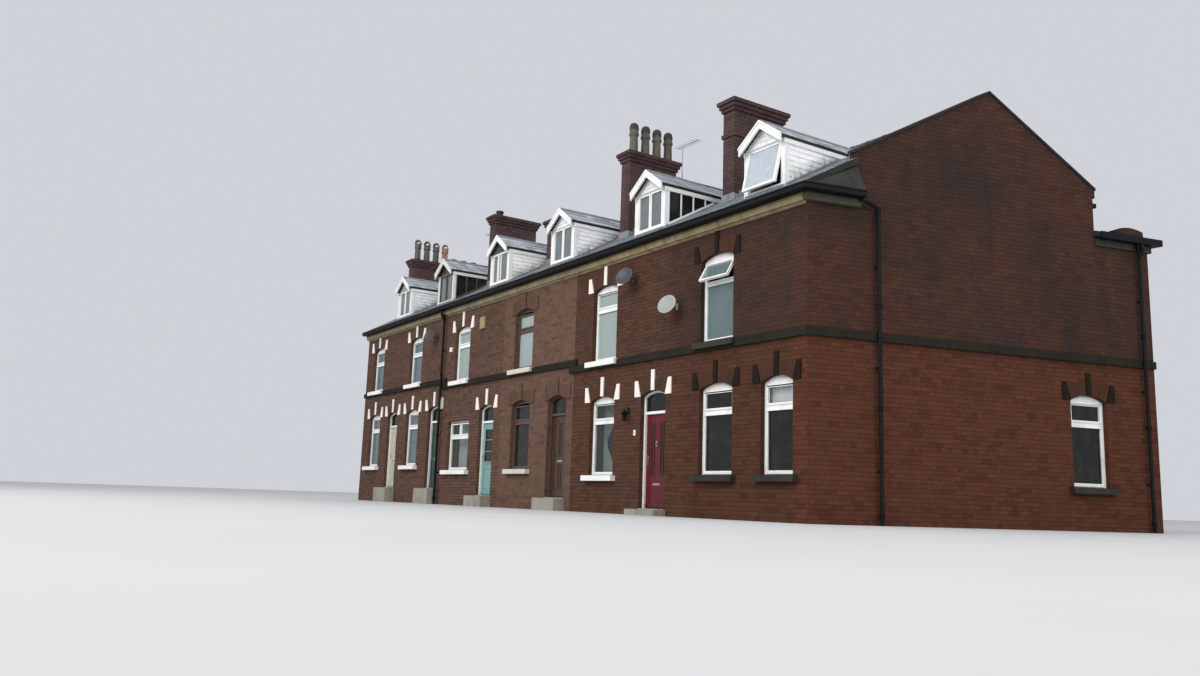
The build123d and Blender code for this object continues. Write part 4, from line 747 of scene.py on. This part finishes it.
def leaf_panels(shape, house, leaf):
    """The panels and glass strips of a front door. Heights are over the leaf's foot, and y out from its face."""
    if house == 1:
        for x in ((-0.2, -0.11), (0.11, 0.2)):
            shape.ring((x[0] - 0.018, x[1] + 0.018), (0.66, 1.76), 0.02, (-0.012, 0), leaf)
            shape.block(x, (-0.006, 0), (0.678, 1.742), leaf, 0.5, 2)
        shape.ring((-0.26, 0.26), (0.12, 0.4), 0.022, (-0.01, 0), leaf)
    elif house == 3:
        shape.ring((-0.27, 0.27), (0.86, 1.78), 0.03, (-0.014, 0), leaf)
        shape.block((-0.245, 0.245), (-0.006, 0), (0.885, 1.755), leaf, 0.5, 2)
        for z in (1.15, 1.46):
            shape.block((-0.245, 0.245), (-0.012, 0), (z, z + 0.018), leaf)
        shape.ring((-0.27, 0.27), (0.16, 0.72), 0.03, (-0.012, 0), leaf)
    else:
        for x in ((-0.29, -0.03), (0.03, 0.29)):
            for z in ((0.18, 0.78), (0.96, 1.76)):
                shape.ring(x, z, 0.026, (-0.013, 0), leaf)
                shape.block((x[0] + 0.055, x[1] - 0.055), (-0.009, 0), (z[0] + 0.055, z[1] - 0.055), leaf)


def lever(shape, face, side, thick, leaf, material=0):
    """A plate and a lever handle on one side of a leaf."""
    x, out = -0.315, face + side * 0.045
    shape.block(band(x, 0.018), past(face, side, thick), (0.88, 1.1), leaf, 0.5, material)
    shape.tube([(x, face, 1.03), (x, out, 1.03), (x + 0.11, out, 1.03)], 0.009, leaf, 10, material)


def door_details():
    """Panels, glass strips and fittings on the leaves, and the furniture beside the doors."""
    for (house, place, up), paint in zip(doors(), (MAROON, BROWN, TEAL, GREEN, CREAM)):
        name = f"door_{house + 1}"
        dress("front_" + name, paint)
        leaf = place @ moved(0, LEAF_FRONT, LEAF_BOTTOM + up)
        shape, inner = Shape(), Shape()
        leaf_panels(shape, house, leaf)
        shape.block((-0.35, 0.35), (-0.03, 0), (0.03, 0.075), leaf)
        shape.block((-0.12, 0.12), (-0.014, 0), (0.46, 0.505) if house == 1 else (0.82, 0.87), leaf, 0.5, 1)
        lever(shape, 0, -1, 0.008, leaf, 1)
        if house in (1, 4):
            shape.tube([(0.028 * sin, -0.02 - 0.008 * cos, 1.3 + 0.05 * cos) for cos, sin in turns(2 * math.pi, 16)],
                       0.007, leaf, 8, 1)
            shape.block(band(0, 0.018), (-0.02, 0), (1.33, 1.37), leaf, 0.5, 1)
        shape.done(f"{name}_fittings", [paint, CHROME, ROOM_SHADE_GLASS], "door_paint", name, 0.002)
        lever(inner, LEAF_THICK, 1, 0.007, leaf)
        inner.done(f"{name}_inner_handle", [CHROME], "door_paint", name, 0.002)
    wall, lamp, spot = Shape(), Shape(), front_at(-5.22)
    bell = front_at(-4.98)
    wall.block(band(0, 0.035), (-0.022, 0), (1.64, 1.76), bell)
    wall.lathe([(0.0, 0.0), (0.012, 0.0), (0.012, 0.006), (0.0, 0.007)],
               bell @ moved(0, -0.022, 1.7) @ Matrix.Rotation(math.radians(90), 4, "X"), 12, 1)
    wall.done("door_bell", [WHITE_PLASTIC, CHROME], "white_joinery", bevel=0.004)
    lamp.block(band(0, 0.04), (-0.015, 0), (2.1, 2.24), spot)
    lamp.tube([(0, -0.01, 2.2), (0, -0.07, 2.25), (0, -0.12, 2.22), (0, -0.12, 2.18)], 0.009, spot)
    lamp.lathe([(0.005, 2.2), (0.03, 2.185), (0.075, 2.13), (0.062, 2.125), (0.045, 1.99), (0.05, 1.975), (0.02, 1.96),
                (0.003, 1.94)], spot @ moved(0, -0.12), 6)
    lamp.done("wall_lantern", [BLACK], "black_gutter")


def fittings():
    boxes = (("alarm_box", YELLOW_PLASTIC, -12.33, 0.14, 0.075, (4.86, 5.2), 0.02),
             ("wall_box", WHITE_PLASTIC, -14.33, 0.07, 0.06, (4.42, 4.56), 0.01))
    for name, material, x, reach, out, z, bevel in boxes:
        shape = Shape()
        shape.block(band(0, reach), (-out, 0), z, front_at(x))
        shape.done(name, [material], "white_joinery", bevel=bevel)


def back_door_details():
    shape = Shape()
    for x, house in wing_rooms():
        place = rear_at(x, WING_BACK) @ moved(0, REVEAL, FLOOR_TOP + LIFTS[house])
        for number in range(6):
            left = -0.36 + number * 0.12
            shape.block((left + 0.004, left + 0.116), (-0.016, 0), (0.02, 1.96), place, RANDOM.random())
        shape.ring((-0.425, 0.425), (0, 2.005), 0.055, (-0.03, 0), place, 1)
        shape.tube([(0.28, -0.01, 1.0), (0.28, -0.06, 1.0), (0.2, -0.06, 1.0)], 0.01, place, material=2)
    shape.done("back_door_boards", [BACK_PAINT, WHITE_TRIM, CHROME], "door_paint", bevel=0.003)


# Roofs

def open_spans(left, right, blocks):
    """What is left of a run when the blocked stretches are taken out."""
    spans = [(left, right)]
    for low, high in blocks:
        cut = []
        for a, b in spans:
            if high <= a or low >= b:
                cut.append((a, b))
            else:
                cut += [(c, d) for c, d in ((a, low), (high, b)) if d - c > 0.02]
        spans = cut
    return spans


def lay_slates(shape, plane, length, spans_at):
    """Courses of slates up a slope. spans_at gives the open runs at a distance up it."""
    for row in range(math.ceil(length / SLATE_GAUGE)):
        low = row * SLATE_GAUGE
        high = min(low + SLATE_GAUGE, length)
        for left, right in spans_at((low + high) / 2):
            x = left - (left % SLATE_WIDTH) - (SLATE_WIDTH / 2 if row % 2 else 0)
            while x < right:
                a, b = max(x, left) + 0.0015, min(x + SLATE_WIDTH, right) - 0.0015
                x += SLATE_WIDTH
                if b - a < 0.015:
                    continue
                lift = SLATE_LIFT + RANDOM.uniform(-0.002, 0.004)
                slip = RANDOM.uniform(-0.004, 0.004)
                tint = RANDOM.random()
                head = high + 0.01
                top = [(a, low + slip, lift), (b, low + slip, lift), (b, head, 0.003), (a, head, 0.003)]
                base = [(px, py, -0.002) for px, py, _ in top]
                shape.skin(shape.verts(top, plane), tint)
                for one, other in ((0, 1), (1, 2), (3, 0)):
                    shape.skin(shape.verts((base[one], base[other], top[other], top[one]), plane), tint)


def slope_plane(x, y, z, along, up):
    """A place on a slope: x along it and y up it."""
    along, up = Vector(along).normalized(), Vector(up).normalized()
    turn = Matrix((along, up, along.cross(up))).transposed().to_4x4()
    return ROW @ moved(x, y, z) @ turn


def parapet_x(y):
    """X of the parapet's inner face at a depth."""
    return (-PARAPET + y * math.sin(SKEW)) / math.cos(SKEW)


def dormer_x(house):
    return LINES[house] - DORMERS_IN[house]


def front_spans(distance):
    """The open runs of the main slope, between the dormers and stacks."""
    y = -EAVES_OVERHANG + distance * math.cos(FRONT_PITCH)
    z = roof_top(y)
    blocks = []
    if y >= DORMER_FRONT and z <= DORMER_RIDGE:
        half = min(DORMER_HALF, (DORMER_RIDGE - z) / (DORMER_RIDGE - DORMER_EAVES) * DORMER_EDGE)
        blocks = [band(dormer_x(house), half) for house in range(6)]
    if STACK_FRONT < y < STACK_BACK:
        blocks += [band(stack_x(line), STACK_HALF) for line in range(1, 7)]
    verge = (VERGE_OVERHANG + y * math.sin(SKEW)) / math.cos(SKEW)
    return open_spans(LEFT_END, parapet_x(y) if y > EAVES_RETURN * math.cos(SKEW) else verge, sorted(blocks))


def main_slates():
    front, rear = Shape(), Shape()
    level, upward, edge = math.cos(FRONT_PITCH), math.sin(FRONT_PITCH), -EAVES_OVERHANG
    plane = slope_plane(0, edge, roof_top(edge), (1, 0, 0), (0, level, upward))
    lay_slates(front, plane, (RIDGE_DEPTH - edge) / level, front_spans)
    front.done("slates_front", [SLATE], "slate")
    level, upward, edge = math.cos(REAR_PITCH), math.sin(REAR_PITCH), DEPTH + EAVES_OVERHANG
    plane = slope_plane(0, edge, roof_top(edge), (-1, 0, 0), (0, -level, upward))
    lay_slates(rear, plane, (edge - RIDGE_DEPTH) / level, lambda d: [(-parapet_x(edge - d * level), -LEFT_END)])
    rear.done("slates_rear", [SLATE], "slate")


def dormer_slates():
    shape = Shape()
    rise = math.atan2(DORMER_RIDGE - DORMER_EAVES, DORMER_EDGE)
    for house in range(6):
        for side in (-1, 1):
            plane = slope_plane(dormer_x(house) + side * DORMER_EDGE, 0, DORMER_EAVES, (0, side, 0),
                                (-side * math.cos(rise), 0, math.sin(rise)))

            def spans(distance, side=side):
                run = (DORMER_NOSE + 0.03, roof_depth(DORMER_EAVES + distance * math.sin(rise)))
                return [run] if side > 0 else [(-run[1], -run[0])]

            lay_slates(shape, plane, DORMER_EDGE / math.cos(rise), spans)
    shape.done("slates_dormers", [SHEEN_DORMER_SLATE], "slate")


def wing_slates():
    """Slates on the low roofs of the rear wings. The last one has a right slope only."""
    shape = Shape()
    level, upward = math.cos(WING_PITCH), math.sin(WING_PITCH)
    reach = 2 + VERGE_OVERHANG
    low = WING_EAVES - VERGE_OVERHANG * math.tan(WING_PITCH) + 0.11
    run = (DEPTH, WING_BACK + VERGE_OVERHANG)
    for ridge in (LINES[2], LINES[4], LEFT_END):
        plane = slope_plane(ridge + reach, 0, low, (0, 1, 0), (-level, 0, upward))
        lay_slates(shape, plane, reach / level, lambda d: [run])
        if ridge != LEFT_END:
            plane = slope_plane(ridge - reach, 0, low, (0, -1, 0), (level, 0, upward))
            lay_slates(shape, plane, reach / level, lambda d: [(-run[1], -run[0])])
    shape.done("slates_wings", [SLATE], "slate")


def ridge():
    """Angled clay ridge tiles in short lengths, each with a raised end."""
    shape, (front, back) = Shape(), band(RIDGE_DEPTH, 0.13)
    length = parapet_x(front) - LEFT_END
    count = round(length / RIDGE_TILE)
    for number in range(count):
        x0, x1 = (LEFT_END + length * edge / count for edge in (number, number + 1))
        for a, b, thick in ((x0 + 0.003, x1 - RAISED_END, 0.03), (x1 - RAISED_END, x1, 0.042)):
            shape.profile([(front, roof_top(front)), (RIDGE_DEPTH, RIDGE_TOP), (back, roof_top(back)),
                           (back + 0.004, roof_top(back) + thick), (RIDGE_DEPTH, RIDGE_TOP + thick + 0.014),
                           (front - 0.004, roof_top(front) + thick)], a, b, tint=RANDOM.random())
    shape.done("ridge_tile_run", [RIDGE_CLAY], "ridge_clay", bevel=0.006, replaces="ridge_tiles")


def dormer_details():
    boarding, trim, gables, panes, lead, frames = (Shape() for _ in range(6))
    front, eaves = DORMER_FRONT, DORMER_EAVES
    end = roof_depth(eaves)
    for house in range(6):
        place = front_at(dormer_x(house))
        for side in (-1, 1):
            face = side * DORMER_HALF
            if house in (1, 4):
                cheek_panes(frames, panes, place, side)
            else:
                cheek_boards(boarding, place, side)
            trim.block(past(face, side, 0.024), (front - 0.012, front + 0.1), (ROOF_AT_FRONT + 0.13, eaves - 0.05),
                       place)
            trim.block(past(face, side, 0.04), (front - 0.02, end), (eaves - 0.15, eaves - 0.045), place)
            lead.block(sorted((face + side * 0.012, face + side * 0.045)), (front - 0.1, end),
                       (eaves - 0.045, eaves - 0.012), place, 0.5, 1)
            lead.profile(on_roof(front, end, 0.015, 0.05), face, face + side * 0.03, place)
        gable_panel(gables, place)
        trim.block(band(0, DORMER_HALF), (front - 0.03, front), (CASEMENT_LOW - 0.035, CASEMENT_LOW + 0.004), place)
        foot, sill = roof_top(0.03), CASEMENT_LOW - 0.03
        lead.profile([(front - 0.008, sill), (front - 0.008, roof_top(front) + 0.02), (0.03, foot + 0.03),
                      (0.03, foot + 0.018), (front, roof_top(front)), (front, sill)],
                     *band(0, DORMER_HALF + 0.05), place)
        for side in (-1, 1):
            edge = side * (DORMER_EDGE + 0.012)
            cap = [(edge, eaves - 0.03), (edge, eaves + 0.012), (0, DORMER_RIDGE + 0.014), (0, DORMER_RIDGE - 0.03)]
            trim.outline(cap, DORMER_NOSE - 0.014, DORMER_NOSE + 0.012, place)
        casement_frames(frames, house, place)
        roll = [(0.075 * cos, DORMER_RIDGE - 0.035 + 0.055 * sin) for cos, sin in turns(math.pi, 6)]
        lead.outline(roll, DORMER_NOSE + 0.02, roof_depth(DORMER_RIDGE) - 0.03, place)
    boarding.done("dormer_cheek_boards", [WHITE_BOARDS], "white_boards", bevel=0.0015)
    trim.done("dormer_trim", [WHITE_TRIM], "white_boards", bevel=0.004)
    gables.done("dormer_gable_boards", [GABLE_BOARDS], "white_boards", bevel=0.002)
    panes.done("dormer_cheek_panes", [ROOM_SHADE_GLASS], "window_glass")
    lead.done("dormer_leadwork", [LEAD, BLACK], "dish_metal", bevel=0.002)
    frames.done("dormer_sashes", [DORMER_JOINERY], "white_joinery", bevel=0.003)


def cheek_boards(boarding, place, side):
    """Lapped boards up a cheek, each cut off at the slope."""
    face, z = side * DORMER_HALF, ROOF_AT_FRONT + 0.12
    while z < DORMER_EAVES - 0.07:
        top = min(z + BOARD_GAUGE, DORMER_EAVES - 0.04)
        if roof_depth(top) > DORMER_FRONT + 0.05:
            outline = [(face, z), (face + side * 0.019, z), (face + side * 0.005, top + 0.012), (face, top + 0.012)]
            boarding.outline(outline, DORMER_FRONT + 0.02, roof_depth(top), place, RANDOM.random())
        z += BOARD_GAUGE


def cheek_panes(frames, panes, place, side):
    """A glazed cheek: dark panes, a painted shade of the room behind, between slim posts, with a sill along the slope.
    """
    face, top, start = side * DORMER_HALF, DORMER_EAVES - 0.13, DORMER_FRONT + 0.1
    end = roof_depth(top - 0.1)
    panes.profile([(start, roof_top(start) + 0.06), (end, roof_top(end) + 0.06), (end, top), (start, top)],
                  *past(face, side, 0.012), place)
    for share in (0.0, 0.27, 0.54, 0.81):
        y = start + (end - start) * share
        frames.block(past(face, side, 0.026), band(y, 0.018), (roof_top(y) + 0.02, top), place)
    frames.profile(on_roof(start, end, 0.02, 0.075), face, face + side * 0.034, place)


def gable_panel(gables, place):
    """Lapped boards in the triangle over a dormer's window."""
    slope = (DORMER_RIDGE - DORMER_EAVES) / DORMER_EDGE
    peak, z, face = DORMER_RIDGE - 0.075, CASEMENT_TOP + 0.01, DORMER_FRONT
    while z < peak - 0.05:
        top = min(z + GABLE_GAUGE, peak - 0.01)
        low, high = (min(DORMER_HALF, (peak - height) / slope) for height in (z, top))
        board = [(-low, face - 0.018, z), (low, face - 0.018, z), (high, face - 0.006, top),
                 (-high, face - 0.006, top)]
        gables.prism(board, (0, 0.016, 0), place, RANDOM.random())
        z += GABLE_GAUGE


def casement_frames(frames, house, place):
    """Opening sashes in a dormer's window. The first one stands open with the frame."""
    half, front = CASEMENT_HALF, DORMER_FRONT
    if house == 0:
        frames.ring(band(0, half), (CASEMENT_LOW, CASEMENT_TOP), 0.028, (front + 0.02, front + 0.06), place)
        return
    split = 0.12 if house == 3 else 0.0
    for x in ((-half + 0.01, -split - 0.008), (-split + 0.008, half - 0.01)):
        frames.ring(x, (CASEMENT_LOW + 0.012, CASEMENT_TOP - 0.012), 0.038, (front + 0.004, front + 0.03), place)


# Chimneys

def hooped_top(shape, place, material):
    """A hood like a short round-topped tunnel on a pot."""
    outer, inner = [[(wide * cos, 0.69 + high * sin) for cos, sin in turns(math.pi, 12)]
                    for wide, high in ((0.112, 0.108), (0.07, 0.066))]
    ring = [(0.112, 0.6)] + outer + [(-0.112, 0.6), (-0.07, 0.6)] + inner[::-1] + [(0.07, 0.6)]
    shape.outline(ring, -0.085, 0.085, place, 0.5, material)


def pots():
    shape = Shape()
    tall = [(0.1, 0.05), (0.121, 0.0), (0.112, 0.1), (0.1, 0.44), (0.103, 0.46), (0.124, 0.48), (0.126, 0.53),
            (0.112, 0.55), (0.108, 0.6), (0.118, 0.62), (0.118, 0.645), (0.09, 0.645), (0.085, 0.4)]
    dome = [(0.118, 0.62), (0.12, 0.66), (0.112, 0.72), (0.09, 0.77), (0.055, 0.792), (0.001, 0.798)]
    squat = [(0.11, 0.0), (0.12, 0.03), (0.105, 0.06), (0.1, 0.13), (0.125, 0.15), (0.125, 0.19), (0.1, 0.205),
             (0.07, 0.205), (0.06, 0.05)]
    for line, count in enumerate(POT_COUNTS, 1):
        for number in range(count):
            place = ROW @ moved(stack_x(line), STACK_FRONT + POT_START + number * POT_SPACING, stack_top(line))
            if line == 2:
                place = place @ Matrix.Diagonal((1, 1, 1.05, 1))
                shape.lathe(tall, place, 28)
                shape.lathe(dome, place, 28, 2)
            elif line == 6:
                colour = 1 if number == 3 else 0
                shape.lathe(tall, place, 28, colour)
                hooped_top(shape, place @ Matrix.Rotation(HOOD_TURN, 4, "Z"), colour)
            else:
                shape.lathe(squat, place, 28, 2)
    shape.done("pots_turned", [POT_CLAY, POT_BUFF, POT_DARK], "pot_clay", replaces="chimney_pots")


def chimney_details():
    """The mortar beds on the stacks, and lead where they meet the slope."""
    bed, lead = Shape(), Shape()
    foot, apron = roof_top(STACK_FRONT), STACK_FRONT - 0.15
    for line in range(1, 7):
        x, top = stack_x(line), stack_top(line)
        for low, high, out in ((0.0, 0.03, 0.02), (0.03, 0.055, -0.03)):
            bed.block(band(x, STACK_HALF + out), (STACK_FRONT - out, STACK_BACK + out), (top + low, top + high))
        for side in (-1, 1):
            stepped_flashing(lead, x, side)
        lead.block(band(x, STACK_HALF + 0.03), (STACK_FRONT - 0.012, STACK_FRONT), (foot - 0.05, foot + 0.16))
        lead.profile([(apron, roof_top(apron) + 0.016), (STACK_FRONT, foot + 0.02), (STACK_FRONT, foot + 0.034),
                      (apron, roof_top(apron) + 0.026)], *band(x, STACK_HALF + 0.1))
    bed.done("flaunching", [MORTAR], "brickwork", bevel=0.012)
    lead.done("stack_flashings", [LEAD], "dish_metal")


def stepped_flashing(lead, x, side):
    face = x + side * STACK_HALF
    if side < 0 and face <= LEFT_END + 0.001:
        return
    outline = [(STACK_BACK, roof_top(STACK_BACK) + 0.012), (STACK_FRONT, roof_top(STACK_FRONT) + 0.012)]
    y = STACK_FRONT
    while y < STACK_BACK:
        after = min(y + BRICK_COURSE / math.tan(FRONT_PITCH), STACK_BACK)
        outline += [(y, roof_top(y) + 0.15), (after, roof_top(y) + 0.15)]
        y = after
    lead.profile(outline, face, face + side * 0.006)


# Bands, gutters and pipes

def band_pieces():
    """Mouldings along the eaves: a bead under the cornice, a bead on the gutter's face and its joint collars."""
    stone, iron, cover = Shape(), Shape(), Shape()
    low, cornice = CORNICE_TOP, CORNICE_LOW
    stone.profile([(-0.1, cornice + 0.03), (-0.118, cornice + 0.06), (-0.118, cornice + 0.1), (-0.1, cornice + 0.12)],
                  LEFT_END, CORNICE_OUT / math.cos(SKEW))
    stone.profile([(0.0, cornice - 0.045), (-0.03, cornice - 0.03), (-0.045, cornice), (0.0, cornice)], LEFT_END, 0.0)
    for x0, x1, place in ((LEFT_END, 0.26, ROW), (-0.2, EAVES_RETURN, SIDE)):
        for z0, z1, out in ((0.085, 0.117, 0.018), (0.0, 0.025, 0.01)):
            iron.profile([(-GUTTER_OUT, low + z0), (-GUTTER_OUT - out, low + z0 + 0.01),
                          (-GUTTER_OUT - out, low + z1 - 0.008), (-GUTTER_OUT, low + z1)], x0, x1, place)
    x = LEFT_END + 0.9
    while x < 0:
        iron.block(band(x, 0.03), (-GUTTER_OUT - 0.008, -GUTTER_OUT), (low - 0.004, low + 0.09))
        x += GUTTER_JOINT
    near, far = [cover.verts([(x, 0.0, 5.828), (x, -0.262, 5.828), (x, -0.262, lip), (x, 0.0, top)], SIDE)
                 for x, lip, top in ((0.02, 5.845, 5.87), (EAVES_RETURN, 5.855, 6.36))]
    cover.skin(near[::-1])
    cover.skin(far)
    cover.around([near, far], smooth=False)
    cover.done("return_weathering", [DARK_RETURN_COVER], "dish_metal")
    stone.done("cornice_mouldings", [CORNICE_STONE], "sandstone", bevel=0.003)
    iron.done("gutter_mouldings", [BLACK], "black_gutter", bevel=0.003)


def pipe_collars():
    shape = Shape()
    pipes = [side_at(SIDE_PIPE), side_at(WING_BACK / math.cos(SKEW) - 0.34), front_at(LINES[4] - 0.08)]
    collar = [(0.044, 0), (0.049, 0.01), (0.049, 0.07), (0.055, 0.08), (0.055, 0.1), (0.044, 0.1)]
    for place, top in zip(pipes, (5.5, 5.6, 5.5)):
        for z in (0.12, 1.95, 3.75, top):
            shape.lathe(collar, place @ moved(0, -PIPE_OUT, z), 18)
    necks = [[(0, -0.2, 5.71), (0, -0.2, 5.6), (0, -0.17, 5.52), (0, -0.12, 5.44), (0, -PIPE_OUT, 5.38)]] * 2
    bend = [(1.0, -0.15, 5.7), (1.12, -0.14, 5.68), (1.33, -0.11, 5.62), (SIDE_PIPE, -PIPE_OUT, 5.55)]
    for neck, place in zip(necks + [bend], pipes[1:] + [SIDE]):
        shape.tube(neck, 0.038, place, 12)
    shape.done("pipe_collars", [BLACK], "black_gutter")


def dress(name, material):
    """Give a solid its material."""
    NODES[name].data.materials.clear()
    NODES[name].data.materials.append(material)


def dress_solids():
    for material, names in (
            (FRONT_BRICK, "front_wall_ground front_wall_upper_right front_wall_upper_middle front_wall_upper_left"),
            (SIDE_BRICK, "side_wall side_stack"),
            (REAR_BRICK, "left_end_wall rear_walls rear_wall_attic wing_side_walls wing_rear_walls"),
            (INNER_BRICK, "party_walls"), (STACK_BRICK, "chimney_stacks"),
            (FLOOR_BOARDS, "ground_floors first_floors attic_floors wing_floors"),
            (ROOF_EDGE, "front_roof_right front_roof_middle front_roof_left rear_roof wing_roofs dormer_roofs"),
            (COPING_STONE, "gable_coping"), (RIDGE_CLAY, "ridge_tiles"), (POT_CLAY, "chimney_pots"),
            (WHITE_TRIM, "dormer_fronts dormer_bargeboards"), (WHITE_BOARDS, "dormer_cheeks"),
            (DORMER_JOINERY, "dormer_windows"), (DORMER_GLASS, "dormer_glass"), (CORNICE_STONE, "cornice"),
            (BLACK, "front_gutter rear_gutters downpipes"), (STRING_STONE, "string_course"),
            (SILL_PAINT, "window_sills"), (JOINERY, "window_frames door_frames"), (GLASS, "window_glass"),
            (ROOM_SHADE_GLASS, "fanlights"), (STEP_STONE, "door_steps"), (BACK_PAINT, "back_doors"),
            (DISH_GREY, "satellite_dishes"), (AERIAL_METAL, "aerials"), (HEAD_PAINT, "head_stones")):
        for name in names.split():
            dress(name, material)


# The studio

def floor():
    shape, reach = Shape(), 260
    shape.skin(shape.verts([(-reach, -reach, 0), (reach, -reach, 0), (reach, reach, 0), (-reach, reach, 0)]))
    s = Shader("studio_floor", roughness=0.9)
    shape.made("studio_floor", [s.done(s.ramp(s.noise(0.3), (0.0, 0.47), (1.0, 0.52)))])


def sky():
    """Even light from all round, over a plain pale backdrop."""
    world = bpy.data.worlds.new("studio")
    bpy.context.scene.world = world
    world.use_nodes = True
    nodes, link = world.node_tree.nodes, world.node_tree.links.new
    light = nodes["Background"]
    light.inputs["Color"].default_value = (0.94, 0.97, 1.0, 1)
    light.inputs["Strength"].default_value = 0.9
    backdrop = nodes.new("ShaderNodeBackground")
    backdrop.inputs["Color"].default_value = (0.62, 0.64, 0.68, 1)
    path = nodes.new("ShaderNodeLightPath")
    seen = path.outputs["Is Camera Ray"]
    for kind in ("Is Glossy Ray", "Is Transmission Ray"):
        either = nodes.new("ShaderNodeMath")
        either.operation = "MAXIMUM"
        link(seen, either.inputs[0])
        link(path.outputs[kind], either.inputs[1])
        seen = either.outputs[0]
    choose = nodes.new("ShaderNodeMixShader")
    for number, source in enumerate((seen, light.outputs[0], backdrop.outputs[0])):
        link(source, choose.inputs[number])
    link(choose.outputs[0], nodes["World Output"].inputs["Surface"])


def lamp(name, place, size, watts):
    data = bpy.data.lights.new(name, "AREA")
    data.shape = "SQUARE"
    data.size = size
    data.energy = watts
    piece = added(name, data)
    piece.location = place
    piece.rotation_euler = (Vector((0, 0, 3)) - Vector(place)).to_track_quat("-Z", "Y").to_euler()


def camera():
    """The photo's viewpoint: low, off the street corner, looking along the row and a little up."""
    yaw_forward = Vector((-0.8355, 0.5495, 0))
    pitch, roll = math.radians(9.4), math.radians(1.92)
    forward = (yaw_forward * math.cos(pitch) + Vector((0, 0, math.sin(pitch)))).normalized()
    level = forward.cross(Vector((0, 0, 1))).normalized()
    upright = level.cross(forward)
    right = level * math.cos(roll) + upright * math.sin(roll)
    up = upright * math.cos(roll) - level * math.sin(roll)
    data = bpy.data.cameras.new("camera")
    data.sensor_width = 36
    data.lens = 29.31
    data.clip_end = 600
    view = added("camera", data)
    view.matrix_world = moved(21.492, -15.768, 0.283) @ Matrix((right, up, -forward)).transposed().to_4x4()
    bpy.context.scene.camera = view


for build in (camera, dress_solids, brick_arches, window_details, curtains, door_details, fittings, back_door_details,
              main_slates, dormer_slates, wing_slates, ridge, dormer_details, pots, chimney_details, band_pieces,
              pipe_collars, floor, sky):
    build()
lamp("key", (6, -34, 24), 22, 9400)
lamp("fill", (34, -6, 16), 20, 3000)
bpy.context.scene.view_settings.view_transform = "Standard"
